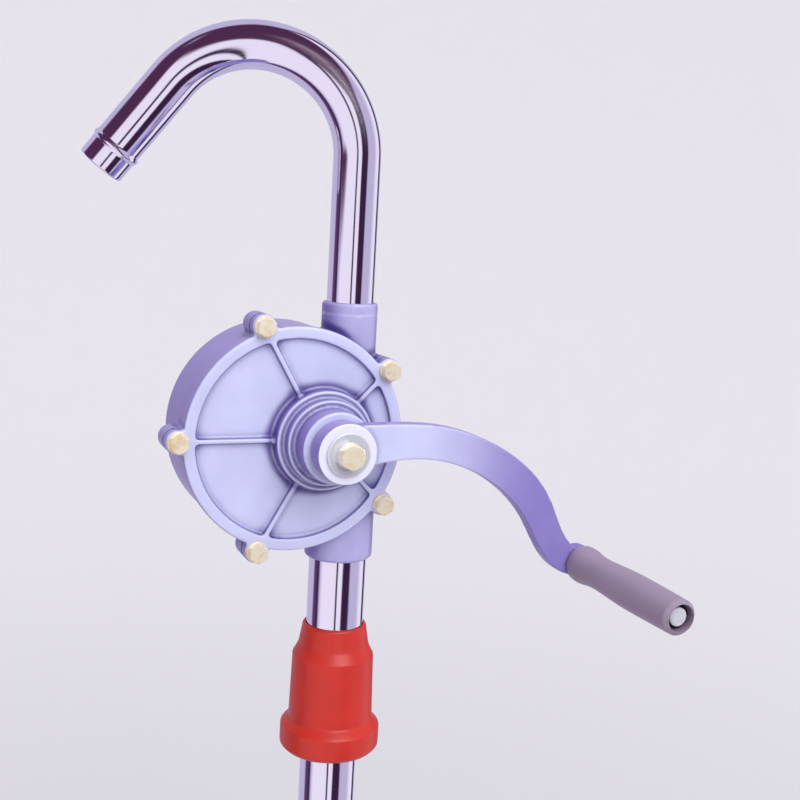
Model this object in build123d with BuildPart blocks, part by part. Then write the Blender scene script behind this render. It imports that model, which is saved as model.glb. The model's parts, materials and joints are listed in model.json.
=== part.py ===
from build123d import *

import os
from math import atan2, cos, degrees, radians, sin, sqrt

# A hand-cranked rotary vane pump that stands on a drum's bung. Millimetres, +Z up.
# The origin is on the suction tube's axis, at the middle of the bung adapter's thread.
# +X runs from the casing's centre to the tube's axis, and the cover and crank face -Y.

# Casing
chamber_radius = 56.0
pipe_inset = 18.0  # chamber's wall to the axis of both tubes, measured along X
eccentricity = 15.5  # casing's centre to the shaft's axis, towards the tubes
chamber_width = 42.0
casing_wall = 6.0
back_wall = 7.0
back_edge_radius = 8.0
cover_thickness = 7.0
cover_lip = 1.0  # cover's rim beyond the casing's wall
gasket_thickness = 0.8

# Cover bolts and the lugs that take them
bolt_count = 5
first_bolt_angle = 36.0
bolt_outset = 3.6  # casing's outer wall to the bolt circle
bolt_radius = 3.0
bolt_head_width = 10.0
bolt_head_height = 4.0
bolt_grip_in_body = 11.0
lug_radius = 6.8
lug_depth = 13.0
washer_radius = 6.0
washer_thickness = 1.6
screw_end_chamfer = 0.6
tapped_hole_runout = 2.0  # how far a tapped hole goes on past its bolt

# Cover relief and boss
cover_rim_width = 6.5
panel_depth = 2.6
panel_taper = 15.0  # degrees of draft on the panels' walls
panel_corner_radius = 2.0
rib_width = 2.2
cover_edge_radius = 1.4
boss_radii = (28.0, 24.0, 20.0)  # root ring, second ring and nose
boss_reaches = (5.5, 12.0, 26.0)  # how far each stands before the cover's front
boss_edge_radius = 1.0
rear_boss_radius = 17.0
rear_boss_length = 11.0

# Rotor, shaft and vanes
rotor_disc_thickness = 2.0
shaft_radius = 8.0
shaft_flats_width = 13.0
rear_journal_radius = 7.0
vane_thickness = 8.0
vane_tip_clearance = 0.10
spreader_radius = 3.9
front_bush_wall = 3.0
front_bush_length = 22.0
rear_bush_wall = 3.0
rear_bush_length = 12.0
seal_radius = 14.0
seal_length = 7.0
seal_wall = 1.2
seal_setback = 0.5  # cover's nose to the seal's front face
seal_lip_ramp = 0.6
garter_radius = 0.7
garter_setback = 3.84  # bush's front face to the middle of the garter spring
shaft_setback = 0.5  # crank hub's front face to the shaft's end

# Crank
crank_gap = 1.5  # cover's nose to the crank's hub
crank_hub_radius = 16.5
crank_hub_length = 13.0
crank_reach_x = 141.5  # shaft's axis to the grip's axis, as shown at rest
crank_reach_z = -65.0
crank_thickness = 9.0
crank_offset = 12.0  # how far the arm steps forward between its hub and its end
crank_step_start = 45.0  # shaft's axis to where that step begins
crank_step_gap = 2.0  # end of that step to the eye's round end
crank_end_radius = 9.5
crank_washer_radius = 12.0
crank_washer_thickness = 2.0
crank_washer_chamfer = 0.5
lock_washer_radius = 7.2
lock_washer_thickness = 2.0
lock_washer_split = 1.0
crank_bolt_radius = 4.0
crank_bolt_depth = 16.0
crank_bolt_head_width = 13.0
crank_bolt_head_height = 5.3

# Grip
spindle_radius = 5.0
spindle_tail_radius = 4.0
spindle_tip_length = 1.5  # spindle's end beyond its clip
spindle_tip_chamfer = 0.8
spindle_tail_runout = 1.5  # spindle's tail beyond its nut
grip_length = 96.0
grip_root_radius = 10.6
grip_waist_radius = 9.2
grip_middle_radius = 10.2
grip_end_radius = 9.6
grip_recess_radius = 7.4
grip_recess_depth = 5.5
grip_collar_chamfer = 1.5
grip_end_round = (2.0, 2.5)  # across and along the grip
grip_stations = (0.07, 0.22, 0.55)  # collar, waist and middle, in grip lengths from its back
spindle_nut_width = 13.0
spindle_nut_height = 6.5
clip_thickness = 1.2
clip_groove_depth = 1.0
clip_gap = 0.9  # clip's edge to the recess's wall

# Spout
spout_radius = 13.45
spout_wall = 2.0
spout_neck_radius = 16.0
spout_neck_chamfer = 1.0
spout_bend_height = 155.0  # casing's centre to the level of the bend's centre
spout_bend_radius = 58.5
spout_bend_angle = 141.5
spout_leg = 62.0
spout_heading = 20.0  # degrees that the spout is turned back from pointing along -X
spout_bead_from_tip = 14.0
spout_bead_radius = 1.4
spout_bead_sink = 0.35  # bead's middle inside the tube's outer wall
spout_groove_gap = 0.5  # set screw's point to each side of its groove
spout_passage_radius = 10.5

# Suction tube and its neck
tube_radius = 16.85
tube_wall = 2.0
tube_neck_radius = 20.0
tube_neck_chamfer = 1.8
tube_section_length = 330.0
tube_passage_radius = 13.0
coupling_wall = 4.0
coupling_length = 50.0
coupling_ridge = 1.6
coupling_chamfer = 1.2
foot_notch_radius = 5.0
foot_notch_count = 4

# Sockets of both necks
socket_depth = 22.0
socket_floor = 2.0  # chamber's wall to the socket's floor, where they are nearest
socket_end_gap = 0.5  # tube's end to the socket's floor
socket_seal_depth = 6.5  # neck's mouth to the seal's middle
socket_seal_section = 1.6
socket_screw_depth = 15.0  # neck's mouth to the set screw's axis
set_screw_radius = 3.0
set_screw_boss_radius = 6.5
set_screw_boss_reach = 5.5  # beyond the neck's wall
set_screw_point_radius = 2.0
set_screw_point_depth = 1.0
set_screw_hex_width = 3.0
set_screw_point_gap = 0.3  # point's end to the bottom of the spout's groove
set_screw_shank_gap = 1.0  # socket's wall to the start of the full shank
set_screw_setback = 1.0  # boss's face to the screw's back

# Bung adapter
adapter_gap = 41.0  # lower neck's mouth to the adapter's top, as it stands
adapter_rim_height = 18.0
adapter_rim_radius = 29.8  # major radius of the bung thread
adapter_rim_chamfer = 3.0
adapter_body_height = 42.0
adapter_body_radius = 24.6
adapter_shoulder_height = 5.0
adapter_neck_height = 13.0
adapter_neck_root_radius = 21.0
adapter_top_radius = 18.9
adapter_ring_depth = 6.0
adapter_ring_height = 7.0
adapter_ring_section = 2.6
adapter_core_depth = 13.0
adapter_core_wall = 4.0
adapter_foot_flare = (0.6, 1.5)  # outward and upward, where the body stands on the rim
adapter_body_draft = 0.4
adapter_shoulder_round = (1.2, 1.0)  # inward and downward
adapter_top_chamfer = 0.8

# Fits
running_clearance = 0.05  # radial, on shafts and journals
socket_clearance = 0.25  # radial, tube in its socket
thread_clearance = 0.05  # radial, screw in its tapped hole
bolt_clearance = 0.3  # radial, bolt in a plain hole
face_clearance = 0.15  # rotor and vanes to the chamber's end walls
rotor_clearance = 0.3  # rotor to the chamber wall where they are nearest
slot_clearance = 0.15  # vane to each side of its slot
grip_clearance = 0.3  # radial, grip on its spindle
seal_clearance = 0.1  # radial, a seal's lip to the piece that turns or slides in it
groove_clearance = 0.1  # seal in its groove, each way
cut_overrun = 1.0  # how far a cut runs on past what it cuts

# Places worked out from the sizes above
pipe_offset = chamber_radius - pipe_inset
casing_x = -pipe_offset
shaft_x = casing_x + eccentricity
body_radius = chamber_radius + casing_wall
cover_radius = body_radius + cover_lip
bolt_circle_radius = body_radius + bolt_outset
panel_radius = cover_radius - cover_rim_width
spout_socket_radius = spout_radius + socket_clearance
tube_socket_radius = tube_radius + socket_clearance
spout_floor_height = sqrt(chamber_radius**2 - (pipe_offset - spout_socket_radius) ** 2) + socket_floor
tube_floor_height = sqrt(chamber_radius**2 - (pipe_offset - tube_socket_radius) ** 2) + socket_floor
spout_neck_height = spout_floor_height + socket_depth
tube_neck_height = tube_floor_height + socket_depth
adapter_bottom = -adapter_rim_height / 2
adapter_rim_top = adapter_rim_height / 2
adapter_shoulder = adapter_rim_top + adapter_body_height
adapter_neck = adapter_shoulder + adapter_shoulder_height
adapter_top = adapter_neck + adapter_neck_height
casing_height = adapter_top + adapter_gap + tube_neck_height
chamber_front = -chamber_width / 2
chamber_rear = chamber_width / 2
flange_face = chamber_front + gasket_thickness
body_back = chamber_rear + back_wall
cover_front = chamber_front - cover_thickness
rotor_radius = chamber_radius - eccentricity - rotor_clearance
disc_pocket_depth = rotor_disc_thickness + face_clearance
rotor_front = chamber_front - rotor_disc_thickness
rotor_rear = chamber_rear + rotor_disc_thickness
nose_front = cover_front - boss_reaches[-1]
seal_front = nose_front + seal_setback
bush_front = seal_front + seal_length
bush_bore_radius = shaft_radius + front_bush_wall
hub_back = nose_front - crank_gap
hub_front = hub_back - crank_hub_length
shaft_end = hub_front + shaft_setback
crank_washer_front = hub_front - crank_washer_thickness
lock_washer_front = crank_washer_front - lock_washer_thickness
arm_back = hub_back - (crank_hub_length - crank_thickness) / 2
arm_front = arm_back - crank_thickness
arm_end_back = arm_back - crank_offset
arm_end_front = arm_end_back - crank_thickness
grip_x = shaft_x + crank_reach_x
grip_z = casing_height + crank_reach_z
grip_back = arm_end_front - grip_clearance
grip_front = grip_back - grip_length
clip_back = grip_front + grip_recess_depth - grip_clearance
spout_mouth = casing_height + spout_neck_height
tube_mouth = casing_height - tube_neck_height
spout_bottom = spout_mouth - socket_depth + socket_end_gap
spout_bend_level = casing_height + spout_bend_height
tube_top = tube_mouth + socket_depth - socket_end_gap
adapter_bore_radius = tube_socket_radius


def facing_front(x, y, z=casing_height):
    """A sketch plane whose normal runs forward, along -Y, with local y pointing up."""
    return Plane(origin=(x, y, z), x_dir=(1, 0, 0), z_dir=(0, -1, 0))


def facing_back(x, y, z):
    """A sketch plane whose normal runs backward, along +Y."""
    return Plane(origin=(x, y, z), x_dir=(-1, 0, 0), z_dir=(0, 1, 0))


def bolt_places(radius=bolt_circle_radius):
    """The places of the cover bolts in a sketch centred on the casing."""
    return PolarLocations(radius, bolt_count, start_angle=first_bolt_angle)


def draw_flange(radius):
    """Adds the casing's round outline and its bolt lugs to the sketch that is open."""
    Circle(radius)
    with bolt_places():
        Circle(lug_radius)
    with bolt_places(bolt_circle_radius / 2):
        Rectangle(bolt_circle_radius, 2 * lug_radius)


os.makedirs("parts", exist_ok=True)

# Pump body: drum, bolt lugs, rear bearing boss and the two necks, one casting
with BuildPart() as pump_body:
    with BuildSketch(facing_front(casing_x, body_back)):
        Circle(body_radius)
    extrude(amount=body_back - flange_face)
    fillet(pump_body.edges().filter_by(GeomType.CIRCLE).sort_by(Axis.Y)[-1], back_edge_radius)
    with BuildSketch(facing_front(casing_x, flange_face + lug_depth)):
        draw_flange(body_radius)
    extrude(amount=lug_depth)
    with BuildSketch(facing_front(shaft_x, body_back + rear_boss_length)):
        Circle(rear_boss_radius)
    extrude(amount=rear_boss_length + back_wall / 2)
    with BuildSketch(Plane.XY.offset(casing_height)):
        Circle(spout_neck_radius)
    extrude(amount=spout_neck_height)
    with BuildSketch(Plane.XY.offset(casing_height - tube_neck_height)):
        Circle(tube_neck_radius)
    extrude(amount=tube_neck_height)
    chamfer(pump_body.edges().filter_by(GeomType.CIRCLE).sort_by(Axis.Z)[-1], spout_neck_chamfer)
    chamfer(pump_body.edges().filter_by(GeomType.CIRCLE).sort_by(Axis.Z)[0], tube_neck_chamfer)
    for neck_radius, screw_level in (
        (spout_neck_radius, spout_mouth - socket_screw_depth),
        (tube_neck_radius, tube_mouth + socket_screw_depth),
    ):
        with BuildSketch(facing_back(0, 0, screw_level)):
            Circle(set_screw_boss_radius)
        extrude(amount=neck_radius + set_screw_boss_reach)
    # The chamber, the rotor disc's pocket and the rear bush's blind bore
    with BuildSketch(facing_front(casing_x, chamber_rear)):
        Circle(chamber_radius)
    extrude(amount=chamber_width, mode=Mode.SUBTRACT)
    with BuildSketch(facing_front(shaft_x, chamber_rear + disc_pocket_depth)):
        Circle(rotor_radius + rotor_clearance)
    extrude(amount=disc_pocket_depth, mode=Mode.SUBTRACT)
    with BuildSketch(facing_front(shaft_x, chamber_rear + disc_pocket_depth + rear_bush_length)):
        Circle(rear_journal_radius + rear_bush_wall)
    extrude(amount=rear_bush_length, mode=Mode.SUBTRACT)
    # Both sockets, each with its seal groove, its screw hole and its way into the chamber
    for mouth, into, bore, passage, neck_radius in (
        (spout_mouth, -1, spout_radius, spout_passage_radius, spout_neck_radius),
        (tube_mouth, 1, tube_radius, tube_passage_radius, tube_neck_radius),
    ):
        with BuildSketch(Plane.XY.offset(mouth)):
            Circle(bore + socket_clearance)
        extrude(amount=into * socket_depth, mode=Mode.SUBTRACT)
        port_edge = sqrt(chamber_radius**2 - (pipe_offset + passage) ** 2)
        with BuildSketch(Plane.XY.offset(mouth)):
            Circle(passage)
        extrude(amount=into * (abs(mouth - casing_height) - port_edge + cut_overrun), mode=Mode.SUBTRACT)
        groove_height = socket_seal_section + 2 * groove_clearance
        with BuildSketch(Plane.XY.offset(mouth + into * socket_seal_depth - groove_height / 2)):
            Circle(bore + seal_clearance + socket_seal_section + groove_clearance)
        extrude(amount=groove_height, mode=Mode.SUBTRACT)
        with BuildSketch(facing_back(0, 0, mouth + into * socket_screw_depth)):
            Circle(set_screw_radius + thread_clearance)
        extrude(amount=neck_radius + set_screw_boss_reach + cut_overrun, mode=Mode.SUBTRACT)
    tapped_depth = bolt_grip_in_body + tapped_hole_runout
    with BuildSketch(facing_front(casing_x, flange_face + tapped_depth)):
        with bolt_places():
            Circle(bolt_radius + thread_clearance)
    extrude(amount=tapped_depth, mode=Mode.SUBTRACT)
pump_body.part.label = "pump_body"
export_step(pump_body.part, "parts/pump_body.step")

# Front cover: rim, sunk panels between the ribs, stepped boss on the shaft's axis
with BuildPart() as front_cover:
    with BuildSketch(facing_front(casing_x, chamber_front)):
        draw_flange(cover_radius)
    extrude(amount=cover_thickness)
    fillet(front_cover.faces().sort_by(Axis.Y)[0].edges(), cover_edge_radius)
    with BuildSketch(facing_front(casing_x, cover_front)) as panels:
        Circle(panel_radius)
        with Locations((eccentricity, 0)):
            Circle(boss_radii[0], mode=Mode.SUBTRACT)
        for bolt in range(bolt_count):
            angle = radians(first_bolt_angle + bolt * 360 / bolt_count)
            run_x = bolt_circle_radius * cos(angle) - eccentricity
            run_y = bolt_circle_radius * sin(angle)
            middle = (eccentricity + run_x / 2, run_y / 2)
            with Locations(Location(middle, degrees(atan2(run_y, run_x)))):
                Rectangle(sqrt(run_x**2 + run_y**2), rib_width, mode=Mode.SUBTRACT)
        fillet(panels.vertices(), panel_corner_radius)
    extrude(amount=-panel_depth, taper=panel_taper, mode=Mode.SUBTRACT)
    for ring_radius, ring_reach in zip(boss_radii, boss_reaches):
        with BuildSketch(facing_front(shaft_x, cover_front + cover_thickness / 2)):
            Circle(ring_radius)
        extrude(amount=ring_reach + cover_thickness / 2)
        ring_edge = front_cover.faces().sort_by(Axis.Y)[0].edges()
        fillet(ring_edge, boss_edge_radius)
    with BuildSketch(facing_front(shaft_x, chamber_front)):
        Circle(rotor_radius + rotor_clearance)
    extrude(amount=disc_pocket_depth, mode=Mode.SUBTRACT)
    with BuildSketch(facing_front(shaft_x, chamber_front)):
        Circle(bush_bore_radius)
    extrude(amount=chamber_front - bush_front, mode=Mode.SUBTRACT)
    with BuildSketch(facing_front(shaft_x, nose_front)):
        Circle(seal_radius)
    extrude(amount=nose_front - bush_front, mode=Mode.SUBTRACT)
    with BuildSketch(facing_front(casing_x, chamber_front)):
        with bolt_places():
            Circle(bolt_radius + bolt_clearance)
    extrude(amount=cover_thickness, mode=Mode.SUBTRACT)
front_cover.part.label = "front_cover"
export_step(front_cover.part, "parts/front_cover.step")

# Cover gasket
with BuildPart() as cover_gasket:
    with BuildSketch(facing_front(casing_x, flange_face)):
        draw_flange(body_radius)
        Circle(chamber_radius, mode=Mode.SUBTRACT)
        with bolt_places():
            Circle(bolt_radius + bolt_clearance, mode=Mode.SUBTRACT)
    extrude(amount=gasket_thickness)
cover_gasket.part.label = "cover_gasket"
export_step(cover_gasket.part, "parts/cover_gasket.step")

# Cover bolts and their washers, one group each
with BuildPart() as cover_washers:
    with BuildSketch(facing_front(casing_x, cover_front)):
        with bolt_places():
            Circle(washer_radius)
        with bolt_places():
            Circle(bolt_radius + bolt_clearance, mode=Mode.SUBTRACT)
    extrude(amount=washer_thickness)
cover_washers.part.label = "cover_washers"
export_step(cover_washers.part, "parts/cover_washers.step")

with BuildPart() as cover_bolts:
    with BuildSketch(facing_front(casing_x, cover_front - washer_thickness)):
        with bolt_places():
            RegularPolygon(bolt_head_width / 2, 6, major_radius=False)
    extrude(amount=bolt_head_height)
    with BuildSketch(facing_front(casing_x, cover_front - washer_thickness)):
        with bolt_places():
            Circle(bolt_radius)
    extrude(amount=-(washer_thickness + flange_face - cover_front + bolt_grip_in_body))
    chamfer(cover_bolts.faces().filter_by(Plane.XZ).sort_by(Axis.Y)[-1].edges(), screw_end_chamfer)
cover_bolts.part.label = "cover_bolts"
export_step(cover_bolts.part, "parts/cover_bolts.step")

# Rotor: slotted drum, end discs and both journals in one piece
with BuildPart() as rotor:
    with BuildSketch(facing_front(shaft_x, rotor_rear)):
        Circle(rotor_radius)
    extrude(amount=rotor_rear - rotor_front)
    with BuildSketch(facing_front(shaft_x, chamber_rear)):
        Rectangle(vane_thickness + 2 * slot_clearance, 2 * (rotor_radius + cut_overrun))
    extrude(amount=chamber_width, mode=Mode.SUBTRACT)
    with BuildSketch(facing_front(shaft_x, rotor_front)):
        Circle(shaft_radius)
    extrude(amount=rotor_front - shaft_end)
    with BuildSketch(facing_front(shaft_x, hub_back)):
        Circle(shaft_radius)
        Rectangle(2 * shaft_radius, shaft_flats_width, mode=Mode.SUBTRACT)
    extrude(amount=hub_back - shaft_end, mode=Mode.SUBTRACT)
    with BuildSketch(facing_front(shaft_x, rotor_rear + rear_bush_length)):
        Circle(rear_journal_radius)
    extrude(amount=rear_bush_length)
    with BuildSketch(facing_front(shaft_x, shaft_end)):
        Circle(crank_bolt_radius + thread_clearance)
    extrude(amount=-(crank_bolt_depth + tapped_hole_runout), mode=Mode.SUBTRACT)
rotor.part.label = "rotor"
export_step(rotor.part, "parts/rotor.step")

# Two vanes in the rotor's slot and the round spreader that keeps them apart
tip_centre = sqrt(
    (chamber_radius - vane_thickness / 2 - vane_tip_clearance) ** 2 - eccentricity**2
)
vane_root = spreader_radius + slot_clearance
for vane_name, way in (("vane_upper", 1), ("vane_lower", -1)):
    with BuildPart() as vane:
        with BuildSketch(facing_front(shaft_x, chamber_rear - face_clearance)):
            with Locations((0, way * (vane_root + tip_centre) / 2)):
                Rectangle(vane_thickness, tip_centre - vane_root)
            with Locations((0, way * tip_centre)):
                Circle(vane_thickness / 2)
        extrude(amount=chamber_width - 2 * face_clearance)
    vane.part.label = vane_name
    export_step(vane.part, f"parts/{vane_name}.step")

with BuildPart() as vane_spreader:
    with BuildSketch(facing_front(shaft_x, chamber_rear - face_clearance)):
        Circle(spreader_radius)
    extrude(amount=chamber_width - 2 * face_clearance)
vane_spreader.part.label = "vane_spreader"
export_step(vane_spreader.part, "parts/vane_spreader.step")

# Bushes and shaft seal
with BuildPart() as front_bush:
    with BuildSketch(facing_front(shaft_x, bush_front + front_bush_length)):
        Circle(bush_bore_radius)
        Circle(shaft_radius + running_clearance, mode=Mode.SUBTRACT)
    extrude(amount=front_bush_length)
front_bush.part.label = "front_bush"
export_step(front_bush.part, "parts/front_bush.step")

with BuildPart() as rear_bush:
    with BuildSketch(facing_front(shaft_x, chamber_rear + disc_pocket_depth + rear_bush_length)):
        Circle(rear_journal_radius + rear_bush_wall)
        Circle(rear_journal_radius + running_clearance, mode=Mode.SUBTRACT)
    extrude(amount=rear_bush_length)
rear_bush.part.label = "rear_bush"
export_step(rear_bush.part, "parts/rear_bush.step")

# The seal's section has a cup with its mouth towards the chamber, revolved about the shaft
with BuildPart() as shaft_seal:
    with BuildSketch(Plane.XY.offset(casing_height)):
        with BuildLine():
            lip = shaft_x + shaft_radius + running_clearance
            Polyline(
                (shaft_x + seal_radius, seal_front),
                (shaft_x + seal_radius, bush_front),
                (shaft_x + seal_radius - seal_wall, bush_front),
                (shaft_x + seal_radius - seal_wall, seal_front + 2 * seal_wall),
                (lip + 2 * seal_wall, seal_front + 2 * seal_wall),
                (lip + 2 * seal_wall, bush_front - 2 * seal_wall),
                (lip, bush_front - 2 * seal_wall - seal_lip_ramp),
                (lip, seal_front + 2 * seal_wall),
                (lip + seal_wall, seal_front),
                close=True,
            )
        make_face()
    revolve(axis=Axis((shaft_x, 0, casing_height), (0, 1, 0)))
shaft_seal.part.label = "shaft_seal"
export_step(shaft_seal.part, "parts/shaft_seal.step")

# Garter spring that closes the seal's lip, drawn as its plain ring
with BuildPart() as seal_garter:
    with BuildSketch(Plane.XY.offset(casing_height)):
        garter_out = lip + 2 * seal_wall + garter_radius + running_clearance
        with Locations((garter_out, bush_front - garter_setback)):
            Circle(garter_radius)
    revolve(axis=Axis((shaft_x, 0, casing_height), (0, 1, 0)))
seal_garter.part.label = "seal_garter"
export_step(seal_garter.part, "parts/seal_garter.step")

# Crank: hub, S-shaped bar that also steps forward, and the eye for the grip's spindle
bar_top = [
    (8.0, 15.0), (34.0, 15.2), (60.0, 12.6), (82.0, 5.5), (103.0, -8.0),
    (118.0, -26.0), (126.5, -43.5), (134.0, -53.5), (144.0, -58.4),
]
bar_bottom = [
    (8.0, -8.5), (34.0, -4.4), (57.0, -6.0), (75.5, -12.5), (92.5, -24.0),
    (105.5, -39.5), (114.5, -55.5), (124.5, -67.0), (138.0, -71.8),
]
with BuildPart() as crank_arm:
    with BuildSketch(facing_front(shaft_x, arm_back)):
        with BuildLine():
            top_edge = Spline(*bar_top)
            bottom_edge = Spline(*bar_bottom)
            Line(top_edge @ 0, bottom_edge @ 0)
            Line(top_edge @ 1, bottom_edge @ 1)
        make_face()
        with Locations((crank_reach_x, crank_reach_z)):
            Circle(crank_end_radius)
    extrude(amount=crank_offset + crank_thickness)
    # The bar's side shape: level at the hub, an easy step forward, level again at the eye
    with BuildSketch(Plane.XY):
        with BuildLine():
            step_start = shaft_x + crank_step_start
            step_end = grip_x - crank_end_radius - crank_step_gap
            bar_end = grip_x + crank_end_radius + cut_overrun
            for level, end_level in ((arm_back, arm_end_back), (arm_front, arm_end_front)):
                Line((shaft_x, level), (step_start, level))
                Spline((step_start, level), (step_end, end_level), tangents=((1, 0), (1, 0)))
                Line((step_end, end_level), (bar_end, end_level))
            Line((shaft_x, arm_back), (shaft_x, arm_front))
            Line((bar_end, arm_end_back), (bar_end, arm_end_front))
        make_face()
    extrude(amount=2 * casing_height, mode=Mode.INTERSECT)
    with BuildSketch(facing_front(shaft_x, hub_back)):
        Circle(crank_hub_radius)
    extrude(amount=crank_hub_length)
    with BuildSketch(facing_front(shaft_x, hub_back)):
        Circle(shaft_radius)
        Rectangle(2 * shaft_radius, shaft_flats_width, mode=Mode.INTERSECT)
    extrude(amount=crank_hub_length, mode=Mode.SUBTRACT)
    with BuildSketch(facing_front(grip_x, arm_end_back, grip_z)):
        Circle(spindle_tail_radius + thread_clearance)
    extrude(amount=crank_thickness, mode=Mode.SUBTRACT)
crank_arm.part.label = "crank_arm"
export_step(crank_arm.part, "parts/crank_arm.step")

# What holds the crank on the shaft: plain washer, spring washer and bolt
with BuildPart() as crank_washer:
    with BuildSketch(facing_front(shaft_x, hub_front)):
        Circle(crank_washer_radius)
        Circle(crank_bolt_radius + bolt_clearance, mode=Mode.SUBTRACT)
    extrude(amount=crank_washer_thickness)
    washer_edge = crank_washer.faces().sort_by(Axis.Y)[0].edges().sort_by(SortBy.RADIUS)[-1]
    chamfer(washer_edge, crank_washer_chamfer)
crank_washer.part.label = "crank_washer"
export_step(crank_washer.part, "parts/crank_washer.step")

with BuildPart() as crank_lock_washer:
    with BuildSketch(facing_front(shaft_x, crank_washer_front)):
        Circle(lock_washer_radius)
        Circle(crank_bolt_radius + thread_clearance, mode=Mode.SUBTRACT)
        with Locations((0, lock_washer_radius)):
            Rectangle(lock_washer_split, 2 * lock_washer_radius, mode=Mode.SUBTRACT)
    extrude(amount=lock_washer_thickness)
crank_lock_washer.part.label = "crank_lock_washer"
export_step(crank_lock_washer.part, "parts/crank_lock_washer.step")

with BuildPart() as crank_bolt:
    with BuildSketch(facing_front(shaft_x, lock_washer_front)):
        RegularPolygon(crank_bolt_head_width / 2, 6, major_radius=False)
    extrude(amount=crank_bolt_head_height)
    with BuildSketch(facing_front(shaft_x, lock_washer_front)):
        Circle(crank_bolt_radius)
    extrude(amount=-(shaft_end + crank_bolt_depth - lock_washer_front))
    chamfer(crank_bolt.faces().sort_by(Axis.Y)[-1].edges(), screw_end_chamfer)
crank_bolt.part.label = "crank_bolt"
export_step(crank_bolt.part, "parts/crank_bolt.step")

# Grip: steel spindle through the crank's eye, its nut, the loose sleeve and its clip
clip_groove_radius = spindle_radius - clip_groove_depth
spindle_end = clip_back - clip_thickness - spindle_tip_length
with BuildPart() as grip_spindle:
    with BuildSketch(facing_front(grip_x, arm_end_front, grip_z)):
        Circle(spindle_radius)
    extrude(amount=arm_end_front - spindle_end)
    with BuildSketch(facing_front(grip_x, arm_end_front, grip_z)):
        Circle(spindle_tail_radius)
    extrude(amount=-(crank_thickness + spindle_nut_height + spindle_tail_runout))
    with BuildSketch(facing_front(grip_x, clip_back, grip_z)):
        Circle(spindle_radius)
        Circle(clip_groove_radius, mode=Mode.SUBTRACT)
    extrude(amount=clip_thickness, mode=Mode.SUBTRACT)
    chamfer(grip_spindle.faces().sort_by(Axis.Y)[0].edges(), spindle_tip_chamfer)
    chamfer(grip_spindle.faces().sort_by(Axis.Y)[-1].edges(), screw_end_chamfer)
grip_spindle.part.label = "grip_spindle"
export_step(grip_spindle.part, "parts/grip_spindle.step")

with BuildPart() as spindle_nut:
    with BuildSketch(facing_back(grip_x, arm_end_back, grip_z)):
        RegularPolygon(spindle_nut_width / 2, 6, major_radius=False)
        Circle(spindle_tail_radius + thread_clearance, mode=Mode.SUBTRACT)
    extrude(amount=spindle_nut_height)
spindle_nut.part.label = "spindle_nut"
export_step(spindle_nut.part, "parts/spindle_nut.step")

with BuildPart() as grip_clip:
    with BuildSketch(facing_front(grip_x, clip_back, grip_z)):
        Circle(grip_recess_radius - clip_gap)
        Circle(clip_groove_radius, mode=Mode.SUBTRACT)
        with Locations((0, grip_recess_radius)):
            Rectangle(clip_groove_radius, 2 * grip_recess_radius, mode=Mode.SUBTRACT)
    extrude(amount=clip_thickness)
grip_clip.part.label = "grip_clip"
export_step(grip_clip.part, "parts/grip_clip.step")

# The sleeve is turned about its axis from a half section: collar, waist, belly and end
with BuildPart() as grip_sleeve:
    with BuildSketch(Plane.XY.offset(grip_z)):
        with BuildLine():
            bore = grip_x + spindle_radius + grip_clearance
            collar = (grip_x + grip_root_radius - grip_collar_chamfer, grip_back)
            skirt = (grip_x + grip_root_radius, grip_back - grip_collar_chamfer)
            belly_end = (grip_x + grip_end_radius, grip_front + grip_end_round[1])
            face_edge = (grip_x + grip_end_radius - grip_end_round[0], grip_front)
            Line((bore, grip_back), collar)
            Line(collar, skirt)
            Spline(
                skirt,
                (grip_x + grip_root_radius, grip_back - grip_stations[0] * grip_length),
                (grip_x + grip_waist_radius, grip_back - grip_stations[1] * grip_length),
                (grip_x + grip_middle_radius, grip_back - grip_stations[2] * grip_length),
                belly_end,
            )
            Line(belly_end, face_edge)
            Polyline(
                face_edge,
                (grip_x + grip_recess_radius, grip_front),
                (grip_x + grip_recess_radius, grip_front + grip_recess_depth),
                (bore, grip_front + grip_recess_depth),
                (bore, grip_back),
            )
        make_face()
    revolve(axis=Axis((grip_x, 0, grip_z), (0, 1, 0)))
grip_sleeve.part.label = "grip_sleeve"
export_step(grip_sleeve.part, "parts/grip_sleeve.step")

# Spout: straight up from its socket, one bend, then a leg that points down
heading = radians(spout_heading)
spout_plane = Plane(
    origin=(0, 0, 0),
    x_dir=(-cos(heading), sin(heading), 0),
    z_dir=(sin(heading), cos(heading), 0),
)
with BuildPart() as spout_tube:
    with BuildLine(spout_plane):
        rise = Line((0, spout_bottom), (0, spout_bend_level))
        bend = JernArc(
            start=(0, spout_bend_level),
            tangent=(0, 1),
            radius=spout_bend_radius,
            arc_size=-spout_bend_angle,
        )
        leg = Line(bend @ 1, bend @ 1 + (bend % 1) * spout_leg)
    with BuildSketch(Plane(origin=rise @ 0, z_dir=(0, 0, 1))):
        Circle(spout_radius)
        Circle(spout_radius - spout_wall, mode=Mode.SUBTRACT)
    sweep()
    tip = leg @ 1
    outward = leg % 1
    bead_middle = tip - outward * spout_bead_from_tip
    across = outward.cross(spout_plane.z_dir)
    with BuildSketch(Plane(origin=bead_middle, x_dir=across, z_dir=spout_plane.z_dir)):
        with Locations((spout_radius - spout_bead_sink, 0)):
            Circle(spout_bead_radius)
    revolve(axis=Axis(tip, outward))
    screw_level = spout_mouth - socket_screw_depth
    groove_half = set_screw_point_radius + spout_groove_gap
    with BuildSketch(Plane.XY.offset(screw_level - groove_half)):
        Circle(spout_radius)
        Circle(spout_radius - set_screw_point_depth, mode=Mode.SUBTRACT)
    extrude(amount=2 * groove_half, mode=Mode.SUBTRACT)
spout_tube.part.label = "spout_tube"
export_step(spout_tube.part, "parts/spout_tube.step")

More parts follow.
